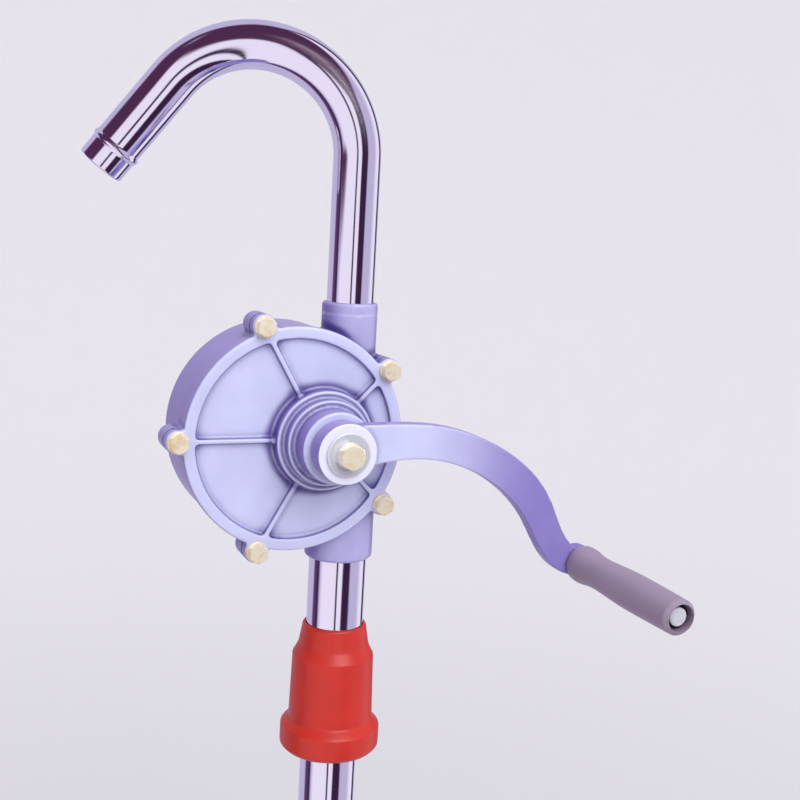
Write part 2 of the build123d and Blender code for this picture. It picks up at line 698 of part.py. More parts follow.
# Suction tube: three lengths butted inside two couplings, the lowest with a notched foot
section_tops = [tube_top - place * (tube_section_length + coupling_ridge) for place in range(3)]
for section_name, section_top in zip(("upper", "middle", "lower"), section_tops):
    with BuildPart() as suction_tube:
        with BuildSketch(Plane.XY.offset(section_top)):
            Circle(tube_radius)
            Circle(tube_radius - tube_wall, mode=Mode.SUBTRACT)
        extrude(amount=-tube_section_length)
        if section_name == "lower":
            foot_level = section_top - tube_section_length
            notch_step = 360 / foot_notch_count
            for turn in range(foot_notch_count // 2):
                notch_dir = Vector(1, 0, 0).rotate(Axis.Z, notch_step * (turn + 0.5))
                with BuildSketch(Plane(origin=(0, 0, foot_level), z_dir=notch_dir)):
                    Circle(foot_notch_radius)
                extrude(amount=2 * tube_radius, both=True, mode=Mode.SUBTRACT)
    suction_tube.part.label = f"suction_tube_{section_name}"
    export_step(suction_tube.part, f"parts/suction_tube_{section_name}.step")

for coupling_name, joint_top in zip(("upper", "lower"), section_tops[:2]):
    joint_middle = joint_top - tube_section_length - coupling_ridge / 2
    with BuildPart() as tube_coupling:
        with BuildSketch(Plane.XY.offset(joint_middle - coupling_length / 2)):
            Circle(tube_radius + coupling_wall)
        extrude(amount=coupling_length)
        chamfer(tube_coupling.edges().filter_by(GeomType.CIRCLE), coupling_chamfer)
        with BuildSketch(Plane.XY.offset(joint_middle - coupling_length / 2)):
            Circle(tube_radius + thread_clearance)
        extrude(amount=coupling_length, mode=Mode.SUBTRACT)
        with BuildSketch(Plane.XY.offset(joint_middle - coupling_ridge / 2)):
            Circle(tube_radius + coupling_wall / 2)
            Circle(tube_radius - tube_wall, mode=Mode.SUBTRACT)
        extrude(amount=coupling_ridge)
    tube_coupling.part.label = f"tube_coupling_{coupling_name}"
    export_step(tube_coupling.part, f"parts/tube_coupling_{coupling_name}.step")

# Seals and set screws of both sockets
for socket_name, mouth, into, bore, neck_radius, point_depth in (
    ("spout", spout_mouth, -1, spout_radius, spout_neck_radius, set_screw_point_depth - set_screw_point_gap),
    ("inlet", tube_mouth, 1, tube_radius, tube_neck_radius, 0.0),
):
    seal_level = mouth + into * socket_seal_depth
    with BuildPart() as socket_seal:
        with BuildSketch(Plane.XZ):
            with Locations((bore + seal_clearance + socket_seal_section / 2, seal_level)):
                Circle(socket_seal_section / 2)
        revolve(axis=Axis.Z)
    socket_seal.part.label = f"{socket_name}_seal"
    export_step(socket_seal.part, f"parts/{socket_name}_seal.step")
    screw_level = mouth + into * socket_screw_depth
    screw_back = neck_radius + set_screw_boss_reach - set_screw_setback
    shank_start = bore + socket_clearance + set_screw_shank_gap
    with BuildPart() as set_screw:
        with BuildSketch(facing_back(0, shank_start, screw_level)):
            Circle(set_screw_radius)
        extrude(amount=screw_back - shank_start)
        with BuildSketch(facing_back(0, bore - point_depth, screw_level)):
            Circle(set_screw_point_radius)
        extrude(amount=shank_start - bore + point_depth)
        with BuildSketch(facing_back(0, screw_back, screw_level)):
            RegularPolygon(set_screw_hex_width / 2, 6, major_radius=False)
        extrude(amount=-set_screw_hex_width, mode=Mode.SUBTRACT)
    set_screw.part.label = f"{socket_name}_set_screw"
    export_step(set_screw.part, f"parts/{socket_name}_set_screw.step")

# Bung adapter: threaded rim, body, shoulder and tapered neck with the grip ring's groove
core_outer = adapter_body_radius
core_inner = adapter_bore_radius + adapter_core_wall
ring_groove_radius = tube_radius + seal_clearance + adapter_ring_section + 2 * groove_clearance
ring_groove_top = adapter_top - adapter_ring_depth
ring_groove_bottom = ring_groove_top - adapter_ring_height
with BuildPart() as bung_adapter:
    with BuildSketch(Plane.XZ):
        with BuildLine():
            Polyline(
                (adapter_bore_radius, adapter_bottom),
                (core_inner, adapter_bottom),
                (core_inner, adapter_bottom + adapter_core_depth),
                (core_outer, adapter_bottom + adapter_core_depth),
                (core_outer, adapter_bottom),
                (adapter_rim_radius - adapter_rim_chamfer, adapter_bottom),
                (adapter_rim_radius, adapter_bottom + adapter_rim_chamfer),
                (adapter_rim_radius, adapter_rim_top - adapter_rim_chamfer),
                (adapter_rim_radius - adapter_rim_chamfer, adapter_rim_top),
                (adapter_body_radius + adapter_foot_flare[0], adapter_rim_top + adapter_foot_flare[1]),
                (adapter_body_radius - adapter_body_draft, adapter_shoulder - adapter_shoulder_round[1]),
                (adapter_body_radius - adapter_shoulder_round[0], adapter_shoulder),
                (adapter_neck_root_radius, adapter_neck),
                (adapter_top_radius, adapter_top - adapter_top_chamfer),
                (adapter_top_radius - adapter_top_chamfer, adapter_top),
                (adapter_bore_radius, adapter_top),
                (adapter_bore_radius, ring_groove_top),
                (ring_groove_radius, ring_groove_top),
                (ring_groove_radius, ring_groove_bottom),
                (adapter_bore_radius, ring_groove_bottom),
                close=True,
            )
        make_face()
    revolve(axis=Axis.Z)
bung_adapter.part.label = "bung_adapter"
export_step(bung_adapter.part, "parts/bung_adapter.step")

# Rubber ring in the adapter that grips the tube
with BuildPart() as tube_grip_ring:
    with BuildSketch(Plane.XY.offset(ring_groove_bottom + groove_clearance)):
        Circle(ring_groove_radius - groove_clearance)
        Circle(tube_radius + seal_clearance, mode=Mode.SUBTRACT)
    extrude(amount=adapter_ring_height - 2 * groove_clearance)
tube_grip_ring.part.label = "tube_grip_ring"
export_step(tube_grip_ring.part, "parts/tube_grip_ring.step")
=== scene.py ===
"""The looks of a hand-cranked drum pump, built round its packed CAD parts."""

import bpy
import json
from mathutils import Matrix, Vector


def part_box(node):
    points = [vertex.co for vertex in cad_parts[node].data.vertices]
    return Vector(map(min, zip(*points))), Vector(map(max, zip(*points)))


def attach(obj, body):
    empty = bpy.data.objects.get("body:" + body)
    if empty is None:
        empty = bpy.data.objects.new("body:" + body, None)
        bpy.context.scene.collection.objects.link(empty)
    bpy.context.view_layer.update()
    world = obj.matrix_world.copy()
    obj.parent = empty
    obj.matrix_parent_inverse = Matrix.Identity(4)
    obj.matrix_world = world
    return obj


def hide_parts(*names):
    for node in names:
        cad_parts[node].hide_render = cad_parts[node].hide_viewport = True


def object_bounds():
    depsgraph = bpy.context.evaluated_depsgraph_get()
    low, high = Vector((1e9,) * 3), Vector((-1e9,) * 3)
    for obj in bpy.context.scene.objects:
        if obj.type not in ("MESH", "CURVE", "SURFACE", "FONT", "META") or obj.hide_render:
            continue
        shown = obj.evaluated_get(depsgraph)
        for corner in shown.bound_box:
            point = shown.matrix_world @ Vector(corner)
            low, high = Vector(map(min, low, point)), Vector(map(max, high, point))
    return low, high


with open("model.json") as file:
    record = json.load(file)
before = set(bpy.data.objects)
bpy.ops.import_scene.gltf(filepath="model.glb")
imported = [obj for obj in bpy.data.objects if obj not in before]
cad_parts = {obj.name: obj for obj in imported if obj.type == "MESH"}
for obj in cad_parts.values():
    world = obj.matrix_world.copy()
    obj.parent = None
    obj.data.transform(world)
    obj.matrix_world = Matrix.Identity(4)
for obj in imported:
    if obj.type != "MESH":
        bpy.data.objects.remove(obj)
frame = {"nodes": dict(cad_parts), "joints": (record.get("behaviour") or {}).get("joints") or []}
cad_box = [list(corner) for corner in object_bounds()]

import json
from math import cos, pi, radians, sin, sqrt, tau

import bmesh
import bpy
from bpy.props import (
    FloatProperty, FloatVectorProperty, IntProperty, PointerProperty, StringProperty,
)
from mathutils import Matrix, Vector

bl_info = {
    "name": "Hand drum pump",
    "version": (1, 0, 0),
    "blender": (4, 5, 0),
    "location": "View3D > Sidebar > Drum pump",
    "description": "Builds the castings, tubes, fixings and grip of a hand-cranked drum pump",
    "category": "Object",
}

MM = 0.001
FORWARD = Vector((0, -1, 0))
UP = Vector((0, 0, 1))

# Places that the CAD frame gives: joints for the axes, boxes for the faces
joint_places = {joint["name"]: Vector(joint.get("pos_m", (0, 0, 0))) for joint in frame["joints"]}
shaft_place = joint_places["crank_turn"]
grip_place = joint_places["grip_spin"]
# The vanes' spreader circles midway between the chamber's axis and the shaft's
casing_place = 2 * joint_places["spreader_orbit"] - shaft_place


# Settings ---------------------------------------------------------------------------------


def length(name, description, default):
    """A size in the settings, given in millimetres and kept in metres."""
    return FloatProperty(
        name=name, description=description, default=default * MM, unit="LENGTH", precision=5, min=0
    )


def colour(name, description, default):
    """A colour in the settings, as an sRGB hex value."""
    return StringProperty(name=name, description=description, default=default)


class CastingSettings(bpy.types.PropertyGroup):
    """The painted castings: pump body, front cover and crank."""

    # The lighter colour: front faces show it, and faces that look up take more as a painted
    # highlight
    enamel: colour("Enamel", "Finish coat where it lies thick", "#BCBEE0")
    # Painted shade: the deeper colour on faces that look sideways and on the crank's far end
    painted_side_shade: colour("First coat", "Deeper coat that shows on sides and in corners", "#7461AC")
    # Painted shade in the inside corners, in this colour
    corner: colour("Corners", "What gathers in the inside corners", "#43357F")
    # Painted highlight on the outside edges of the body and cover, in this colour
    edge: colour("Edges", "Finish coat drawn thin over outside corners", "#E2E3F8")
    # Painted shade along the crank's outside edges, in this colour
    crank_edge_painted_shade: colour("Crank edges", "First coat that shows along the crank's edges", "#5D4C9E")
    facing: colour("Facing", "The crank hub's faced end", "#D6D6E8")
    hub_facing: length("Hub facing", "Radius of that facing", 16.2)
    # Painted shade on the crank: it darkens from the first distance from the shaft to the second
    painted_shade_start: length("Full coat", "The crank's coat is full this far from the shaft", 38.0)
    painted_shade_deepest: length("Thin coat", "The crank's coat is thinnest this far from the shaft", 112.0)
    skin: length("Skin", "Spacing of the mesh that a casting is rebuilt in", 0.75)
    crank_skin: length("Crank skin", "The same on the crank", 0.6)
    easing: IntProperty(
        name="Easing", description="How often the corners are eased, as sand leaves them",
        default=3, min=0,
    )


class TubeSettings(bpy.types.PropertyGroup):
    """The chromed spout, suction tube and couplings."""

    chrome: colour("Chrome", "Tint of the plate", "#E9E4F5")
    bend_radius: length("Bend radius", "Radius of the spout's bend at the tube's middle", 58.5)
    bend_angle: FloatProperty(
        name="Bend", description="How far the spout turns over", default=radians(141.5),
        subtype="ANGLE",
    )
    bend_level: length("Bend level", "Casing's centre to the level of the bend's centre", 155.0)
    leg: length("Leg", "Straight end of the spout after its bend", 62.0)
    heading: FloatProperty(
        name="Heading", description="How far the spout is turned back", default=radians(20),
        subtype="ANGLE",
    )
    wall: length("Wall", "Thickness of every tube's wall", 2.0)
    bead_place: length("Bead place", "Spout's tip to the middle of its bead", 14.0)
    bead_rise: length("Bead rise", "How far the bead stands out", 1.05)
    bead_width: length("Bead width", "Half the width of the bead at its foot", 2.3)
    foot_notch: length("Foot notch", "Radius of the notches in the tube's foot", 5.0)
    around: IntProperty(name="Around", description="Faces round a tube", default=144, min=12)


class AdapterSettings(bpy.types.PropertyGroup):
    """The moulded bung adapter."""

    nylon: colour("Nylon", "Colour of the moulding", "#BE2413")
    rim_height: length("Rim height", "Height of the threaded rim", 18.0)
    rim_chamfer: length("Rim chamfer", "Chamfer on both sides of the rim", 3.0)
    body_radius: length("Body radius", "Radius of the plain body", 24.6)
    body_height: length("Body height", "Height of the plain body", 42.0)
    shoulder_height: length("Shoulder height", "Height of the sloping shoulder", 5.0)
    neck_radius: length("Neck radius", "Neck at its root", 21.0)
    top_radius: length("Top radius", "Neck at its top", 18.9)
    bore_radius: length("Bore radius", "Bore for the tube", 17.1)


class GripSettings(bpy.types.PropertyGroup):
    """The loose sleeve on the crank's spindle."""

    plastic: colour("Plastic", "Colour of the sleeve", "#8C7D92")
    root_radius: length("Root radius", "Radius beside the crank", 10.6)
    waist_radius: length("Waist radius", "Radius at the waist", 9.2)
    middle_radius: length("Middle radius", "Radius at the belly", 10.2)
    end_radius: length("End radius", "Radius at the free end", 9.6)
    bore_radius: length("Bore radius", "Bore for the spindle", 5.3)
    recess_radius: length("Recess radius", "Radius of the pocket in the free end", 7.4)
    recess_depth: length("Recess depth", "Depth of that pocket", 5.5)


class FixingSettings(bpy.types.PropertyGroup):
    """Bolts, washers and the bright steel pieces."""

    zinc: colour("Zinc", "Plate on the bolts", "#F1E8CF")
    zinc_tint: colour("Zinc tint", "Where the passivation runs yellow", "#E2BC78")
    steel: colour("Steel", "Turned steel", "#DDE1E6")
    bolt_head: length("Cover bolt head", "Across the flats of a cover bolt", 10.0)
    bolt_height: length("Cover bolt height", "Height of a cover bolt's head", 4.0)
    washer_radius: length("Cover washer", "Radius of a cover washer", 6.0)
    crank_bolt_head: length("Crank bolt head", "Across the flats of the crank bolt", 13.0)
    crank_bolt_height: length("Crank bolt height", "Height of the crank bolt's head", 5.3)


class StageSettings(bpy.types.PropertyGroup):
    """Floor, light and camera."""

    floor: colour("Floor", "Colour of the floor", "#D3D2D6")
    wall: colour("Wall", "Colour of the sweep's wall", "#FCFBFD")
    lens: FloatProperty(name="Lens", description="Focal length in millimetres", default=55.0)
    turn: FloatProperty(
        name="Turn", description="How far the camera looks right of straight back",
        default=radians(23.16), subtype="ANGLE",
    )
    dip: FloatProperty(
        name="Dip", description="How far the camera looks down", default=radians(9.2),
        subtype="ANGLE",
    )
    roll: FloatProperty(
        name="Roll", description="Camera's roll", default=radians(3.24), subtype="ANGLE"
    )
    stand: FloatVectorProperty(
        name="Stand", description="Middle of the cover's face to the camera, in millimetres",
        default=(-208.2, -628.1, 132.4),
    )
    key_power: FloatProperty(name="Key", description="The key light's power, in W", default=40.0)
    top_power: FloatProperty(name="Top", description="The upper light's power, in W", default=18.0)
    sky: FloatProperty(name="Sky", description="Strength of the even light all round", default=0.86)


settings_groups = {
    "pump_castings": CastingSettings,
    "pump_tubes": TubeSettings,
    "pump_adapter": AdapterSettings,
    "pump_grip": GripSettings,
    "pump_fixings": FixingSettings,
    "pump_stage": StageSettings,
}


# Materials --------------------------------------------------------------------------------


def linear(hex_value):
    """The linear colour of an sRGB hex value."""
    parts = [int(hex_value[place : place + 2], 16) / 255 for place in (1, 3, 5)]
    return (*(p / 12.92 if p <= 0.04045 else ((p + 0.055) / 1.055) ** 2.4 for p in parts), 1.0)


def add_node(tree, kind, settings=None, links=None):
    """Adds a shader node: its settings by property or socket, and what feeds its sockets, each a
    socket or a node whose first output is meant."""
    node = tree.nodes.new("ShaderNode" + kind)
    for key, value in (settings or {}).items():
        if isinstance(key, str) and key[0].islower():
            setattr(node, key, value)
        else:
            node.inputs[key].default_value = value
    for key, source in (links or {}).items():
        tree.links.new(getattr(source, "outputs", [source])[0], node.inputs[key])
    return node


def begin_material(name):
    """An empty material, its node tree, and coordinates in millimetres from the piece itself."""
    material = bpy.data.materials.new(name)
    material.use_nodes = True
    tree = material.node_tree
    tree.nodes.clear()
    place = add_node(tree, "TexCoord")
    in_mm = add_node(
        tree, "VectorMath", {"operation": "SCALE", "Scale": 1 / MM}, {0: place.outputs["Object"]}
    )
    return material, tree, in_mm


def end_material(material, kind, settings, links):
    """Gives a material its last shader, joined to the material's output."""
    shader = add_node(material.node_tree, kind, settings, links)
    add_node(material.node_tree, "OutputMaterial", links={"Surface": shader})
    return material


def fill_ramp(node, stops):
    """Sets a colour ramp's stops, which run from 0 to 1."""
    elements = node.color_ramp.elements
    elements[0].position, elements[0].color = stops[0]
    elements[1].position, elements[1].color = stops[-1]
    for position, tint in stops[1:-1]:
        elements.new(position).color = tint


def grained(tree, coords, scale, detail, roughness, strength, depth_mm, under=None):
    """A noise, and the relief that it makes on top of the relief under it."""
    noise = add_node(
        tree, "TexNoise", {"Scale": scale, "Detail": detail, "Roughness": roughness},
        {"Vector": coords},
    )
    links = {"Height": noise}
    if under:
        links["Normal"] = under
    relief = add_node(tree, "Bump", {"Strength": strength, "Distance": depth_mm * MM}, links)
    return noise, relief


def mottled(tree, noise, tones, gloss, settings=None, links=None):
    """A colour whose brightness runs between two tones with a noise, and a roughness that runs
    between two values with it. The colour is the Color in settings or links."""
    shift, worn = (
        add_node(
            tree, "MapRange", {"From Min": 0.3, "From Max": 0.7, "To Min": low, "To Max": high},
            {"Value": noise},
        )
        for low, high in (tones, gloss)
    )
    tinted = add_node(tree, "HueSaturation", settings, {**(links or {}), "Value": shift})
    return tinted, worn


def casting_enamel(name, front_lighter_share, edge, shaded_crank=False):
    """Air-drying enamel sprayed on sand-cast iron.

    Gloss over an uneven skin: soft highlights that break up in the casting's grain, painted
    shade in a deeper colour on faces that look sideways and in the corners, and a painted
    highlight on faces that look up and on outside edges. The share is the lighter colour's share
    on faces that look straight to the front or back, and edge is the colour painted on outside
    edges: a painted highlight on the body and cover, painted shade on the crank. On the crank,
    painted shade darkens it towards its far end, and its hub is faced bright.
    """
    chosen = bpy.context.scene.pump_castings
    material, tree, in_mm = begin_material(name)
    # Painted shade: faces that look sideways take the deeper colour, and faces that look up take
    # more of the lighter one as a painted highlight
    normal = add_node(tree, "TexCoord").outputs["Normal"]
    facing = add_node(tree, "SeparateXYZ", links={0: normal})
    square_on = add_node(tree, "Math", {"operation": "ABSOLUTE"}, {0: facing.outputs["Y"]})
    reach = add_node(
        tree, "MapRange",
        {"interpolation_type": "SMOOTHSTEP", "From Min": 0.02, "From Max": 0.99,
         "To Max": front_lighter_share},
        {"Value": square_on},
    )
    above = add_node(
        tree, "MapRange", {"interpolation_type": "SMOOTHSTEP", "From Min": 0.1, "To Max": 0.2},
        {"Value": facing.outputs["Z"]},
    )
    share = add_node(tree, "Math", {"operation": "ADD", "use_clamp": True}, {0: reach, 1: above})
    if shaded_crank:
        # Painted shade: the lighter colour fades out between two distances from the shaft, so the
        # crank darkens towards its far end
        from_shaft = add_node(
            tree, "VectorMath",
            {"operation": "MULTIPLY_ADD", 1: (1, 0, 1),
             2: (-shaft_place.x / MM, 0, -shaft_place.z / MM)},
            {0: in_mm},
        )
        distance = add_node(tree, "VectorMath", {"operation": "LENGTH"}, {0: from_shaft})
        far_end_shade = add_node(
            tree, "MapRange",
            {"interpolation_type": "SMOOTHSTEP", "From Min": chosen.painted_shade_start / MM,
             "From Max": chosen.painted_shade_deepest / MM, "To Min": 1.0, "To Max": 0.12},
            {"Value": distance.outputs["Value"]},
        )
        share = add_node(tree, "Math", {"operation": "MULTIPLY"}, {0: share, 1: far_end_shade})
    lit_and_shaded_coats = add_node(
        tree, "Mix", {"data_type": "RGBA", 6: linear(chosen.painted_side_shade), 7: linear(chosen.enamel)},
        {0: share},
    )
    # Clouds of thicker and thinner paint, about 18 mm across
    clouds = add_node(
        tree, "TexNoise", {"Scale": 1 / 18, "Detail": 3.0, "Roughness": 0.55}, {"Vector": in_mm}
    )
    coat = {"Color": lit_and_shaded_coats.outputs[2]}
    shade, dull = mottled(tree, clouds, (0.96, 1.04), (0.3, 0.42), links=coat)
    # Painted shade darkens inside corners within 8 mm of another face, and outside edges within
    # 1.6 mm take the edge colour: a painted highlight, or painted shade on the crank
    for inside, near_mm, clear, full, most, tint in (
        (False, 8, 0.92, 0.7, 1.0, chosen.corner),
        (True, 1.6, 0.9, 0.55, 0.4, edge),
    ):
        openness = add_node(
            tree, "AmbientOcclusion",
            {"samples": 12, "Distance": near_mm * MM, "only_local": True, "inside": inside},
        )
        closed_in = add_node(
            tree, "MapRange",
            {"interpolation_type": "SMOOTHSTEP", "From Min": clear, "From Max": full,
             "To Max": most},
            {"Value": openness.outputs["AO"]},
        )
        shade = add_node(
            tree, "Mix", {"data_type": "RGBA", 7: linear(tint)}, {0: closed_in, 6: shade},
        ).outputs[2]
    if shaded_crank:
        # The facing ends over 0.6 mm, both at its radius and behind the hub's front
        front = add_node(tree, "SeparateXYZ", links={0: in_mm})
        hub_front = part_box("crank_washer")[1].y / MM
        hub_radius = chosen.hub_facing / MM
        forward = add_node(
            tree, "MapRange", {"From Min": hub_front + 0.7, "From Max": hub_front + 0.1},
            {"Value": front.outputs["Y"]},
        )
        inward = add_node(
            tree, "MapRange", {"From Min": hub_radius + 0.6, "From Max": hub_radius},
            {"Value": distance.outputs["Value"]},
        )
        bright = add_node(tree, "Math", {"operation": "MULTIPLY"}, {0: forward, 1: inward})
        shade = add_node(
            tree, "Mix", {"data_type": "RGBA", 7: linear(chosen.facing)}, {0: bright, 6: shade},
        ).outputs[2]
    # Casting grain, 1.6 mm, under the orange peel of the spray, 4 mm
    _, grain = grained(
        tree, in_mm, scale=1 / 1.6, detail=2.0, roughness=0.5, strength=0.12, depth_mm=0.12
    )
    _, peel = grained(
        tree, in_mm, scale=1 / 4, detail=1.0, roughness=0.4, strength=0.3, depth_mm=0.15,
        under=grain,
    )
    return end_material(
        material, "BsdfPrincipled", {"IOR": 1.5, "Coat Weight": 0.35, "Coat Roughness": 0.12},
        {"Base Color": shade, "Roughness": dull, "Normal": peel},
    )


def drawn_chrome(name):
    """Chromium plate on drawn steel tube, buffed before plating.

    A mirror with the faintest haze: crisp dark and light bands run along the tube, and the
    drawing marks under the plate make their edges waver.
    """
    chosen = bpy.context.scene.pump_tubes
    material, tree, _ = begin_material(name)
    along = add_node(tree, "UVMap", {"uv_map": "surface_mm"})
    # Long waves in the wall, 9 mm by 45 mm
    wave_places = add_node(tree, "Mapping", {"Scale": (1 / 9, 1 / 45, 1.0)}, {"Vector": along})
    _, waves = grained(
        tree, wave_places, scale=1.0, detail=1.0, roughness=0.4, strength=0.25, depth_mm=0.25
    )
    # Drawing marks 0.8 mm wide and 60 mm long, drawn coarser than the real 0.1 mm so that they show
    mark_places = add_node(tree, "Mapping", {"Scale": (1 / 0.8, 1 / 60, 1.0)}, {"Vector": along})
    marks, relief = grained(
        tree, mark_places, scale=1.0, detail=3.0, roughness=0.6, strength=0.06, depth_mm=0.05,
        under=waves,
    )
    haze = add_node(
        tree, "MapRange", {"From Min": 0.35, "From Max": 0.75, "To Min": 0.045, "To Max": 0.13},
        {"Value": marks},
    )
    return end_material(
        material, "BsdfPrincipled", {"Base Color": linear(chosen.chrome), "Metallic": 1.0},
        {"Roughness": haze, "Normal": relief},
    )


def moulded(name, hex_value, roughness, grain_mm, grain_strength, subsurface):
    """An injection moulding: even colour with slow flow clouds, and the mould's spark grain."""
    material, tree, in_mm = begin_material(name)
    # Flow clouds 25 mm across
    flow = add_node(
        tree, "TexNoise", {"Scale": 1 / 25, "Detail": 2.0, "Roughness": 0.5}, {"Vector": in_mm}
    )
    tinted, gloss = mottled(
        tree, flow, (0.94, 1.05), (roughness - 0.05, roughness + 0.06), {"Color": linear(hex_value)}
    )
    _, relief = grained(
        tree, in_mm, 1 / grain_mm, detail=2.0, roughness=0.6, strength=grain_strength, depth_mm=0.1
    )
    return end_material(
        material, "BsdfPrincipled",
        {"IOR": 1.5, "Subsurface Weight": subsurface, "Subsurface Scale": 2 * MM},
        {"Base Color": tinted, "Roughness": gloss, "Normal": relief},
    )


def zinc_plate(name):
    """Zinc plate with a clear-to-yellow passivation, on a cold-headed bolt.

    Bright and slightly grainy metal whose cream colour runs to straw in patches.
    """
    chosen = bpy.context.scene.pump_fixings
    material, tree, in_mm = begin_material(name)
    # Patches of straw colour 5 mm across
    patches = add_node(
        tree, "TexNoise", {"Scale": 1 / 5, "Detail": 3.0, "Roughness": 0.6}, {"Vector": in_mm}
    )
    share = add_node(
        tree, "MapRange", {"From Min": 0.46, "From Max": 0.7, "To Max": 0.7}, {"Value": patches},
    )
    tinted = add_node(
        tree, "Mix", {"data_type": "RGBA", 6: linear(chosen.zinc), 7: linear(chosen.zinc_tint)},
        {0: share},
    )
    # Zinc crystals, 0.5 mm
    crystals = add_node(tree, "TexVoronoi", {"Scale": 1 / 0.5}, {"Vector": in_mm})
    satin = add_node(
        tree, "MapRange", {"To Min": 0.24, "To Max": 0.4}, {"Value": crystals.outputs["Distance"]}
    )
    relief = add_node(
        tree, "Bump", {"Strength": 0.12, "Distance": 0.05 * MM},
        {"Height": crystals.outputs["Distance"]},
    )
    return end_material(
        material, "BsdfPrincipled", {"Metallic": 0.4},
        {"Base Color": tinted.outputs[2], "Roughness": satin, "Normal": relief},
    )


def turned_steel(name):
    """Mild steel faced and turned in a lathe: satin, with fine rings round its axis."""
    chosen = bpy.context.scene.pump_fixings
    material, tree, _ = begin_material(name)
    along = add_node(tree, "UVMap", {"uv_map": "surface_mm"})
    # Tool marks 0.5 mm apart and as long as the cut, coarser than a real 0.15 mm feed so they show
    stretch = add_node(tree, "Mapping", {"Scale": (1 / 40, 1 / 0.5, 1.0)}, {"Vector": along})
    cuts, relief = grained(
        tree, stretch, scale=1.0, detail=2.0, roughness=0.5, strength=0.15, depth_mm=0.05
    )
    satin = add_node(
        tree, "MapRange", {"From Min": 0.35, "From Max": 0.65, "To Min": 0.24, "To Max": 0.36},
        {"Value": cuts},
    )
    return end_material(
        material, "BsdfPrincipled", {"Base Color": linear(chosen.steel), "Metallic": 0.5},
        {"Roughness": satin, "Normal": relief},
    )


def inner_finish(name, hex_value, metallic, roughness, grain_mm, grain_depth_mm):
    """A finish for a piece inside the pump: one colour, broken by grain of a real size."""
    material, tree, in_mm = begin_material(name)
    grain, relief = grained(
        tree, in_mm, 1 / grain_mm, detail=3.0, roughness=0.6, strength=0.4, depth_mm=grain_depth_mm
    )
    tinted, worn = mottled(
        tree, grain, (0.85, 1.1), (roughness - 0.06, roughness + 0.08), {"Color": linear(hex_value)}
    )
    return end_material(
        material, "BsdfPrincipled", {"Metallic": metallic} if metallic else {"IOR": 1.5},
        {"Base Color": tinted, "Roughness": worn, "Normal": relief},
    )


def finish(make, name, *details):
    """A material that several pieces share, made the first time it is asked for."""
    if name not in bpy.data.materials:
        make(name, *details)
    return bpy.data.materials[name]


def chrome():
    return finish(drawn_chrome, "chrome_plate_on_drawn_tube")


def zinc():
    return finish(zinc_plate, "passivated_zinc_plate")


def steel():
    return finish(turned_steel, "turned_mild_steel")


# Shapes -----------------------------------------------------------------------------------


def new_object(name, data):
    """An object that holds the data, in the scene."""
    made = bpy.data.objects.new(name, data)
    bpy.context.scene.collection.objects.link(made)
    return made


def add_piece(mesh, body, slot, material, *nodes):
    """Puts a finished mesh on its CAD body, in place of the CAD nodes that it stands for."""
    piece = new_object(mesh.name, mesh)
    mesh.materials.clear()
    mesh.materials.append(material)
    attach(piece, body)
    if nodes:
        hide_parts(*nodes)
    return piece


def softened(outline, radius, closed, steps=4):
    """An outline with each corner drawn as a short curve."""
    count = len(outline)
    points = [Vector(point) for point in outline]
    # A curve takes less than half of each side, and a bend this slight is left as it is
    most, slight = 0.45, radians(12)
    drawn = []
    for place, corner in enumerate(points):
        if not closed and place in (0, count - 1):
            drawn.append(corner)
            continue
        before = points[place - 1] - corner
        after = points[(place + 1) % count] - corner
        reach = min(radius, most * before.length, most * after.length)
        if before.angle(-after) < slight:
            drawn.append(corner)
            continue
        start = corner + before.normalized() * reach
        end = corner + after.normalized() * reach
        for step in range(steps + 1):
            share = step / steps
            drawn.append(
                start * (1 - share) ** 2 + corner * 2 * share * (1 - share) + end * share**2
            )
    return [tuple(point) for point in drawn]


def eased(points, steps=8):
    """A smooth line through points, as a flexible rule would lie."""
    points = [Vector(point) for point in points]
    padded = [2 * points[0] - points[1], *points, 2 * points[-1] - points[-2]]
    drawn = []
    for a, b, c, d in zip(padded, padded[1:], padded[2:], padded[3:]):
        for step in range(steps):
            t = step / steps
            drawn.append(
                0.5 * (2 * b + (c - a) * t + (2 * a - 5 * b + 4 * c - d) * t**2
                       + (3 * b - a - 3 * c + d) * t**3)
            )
    return [tuple(point) for point in drawn] + [tuple(points[-1])]


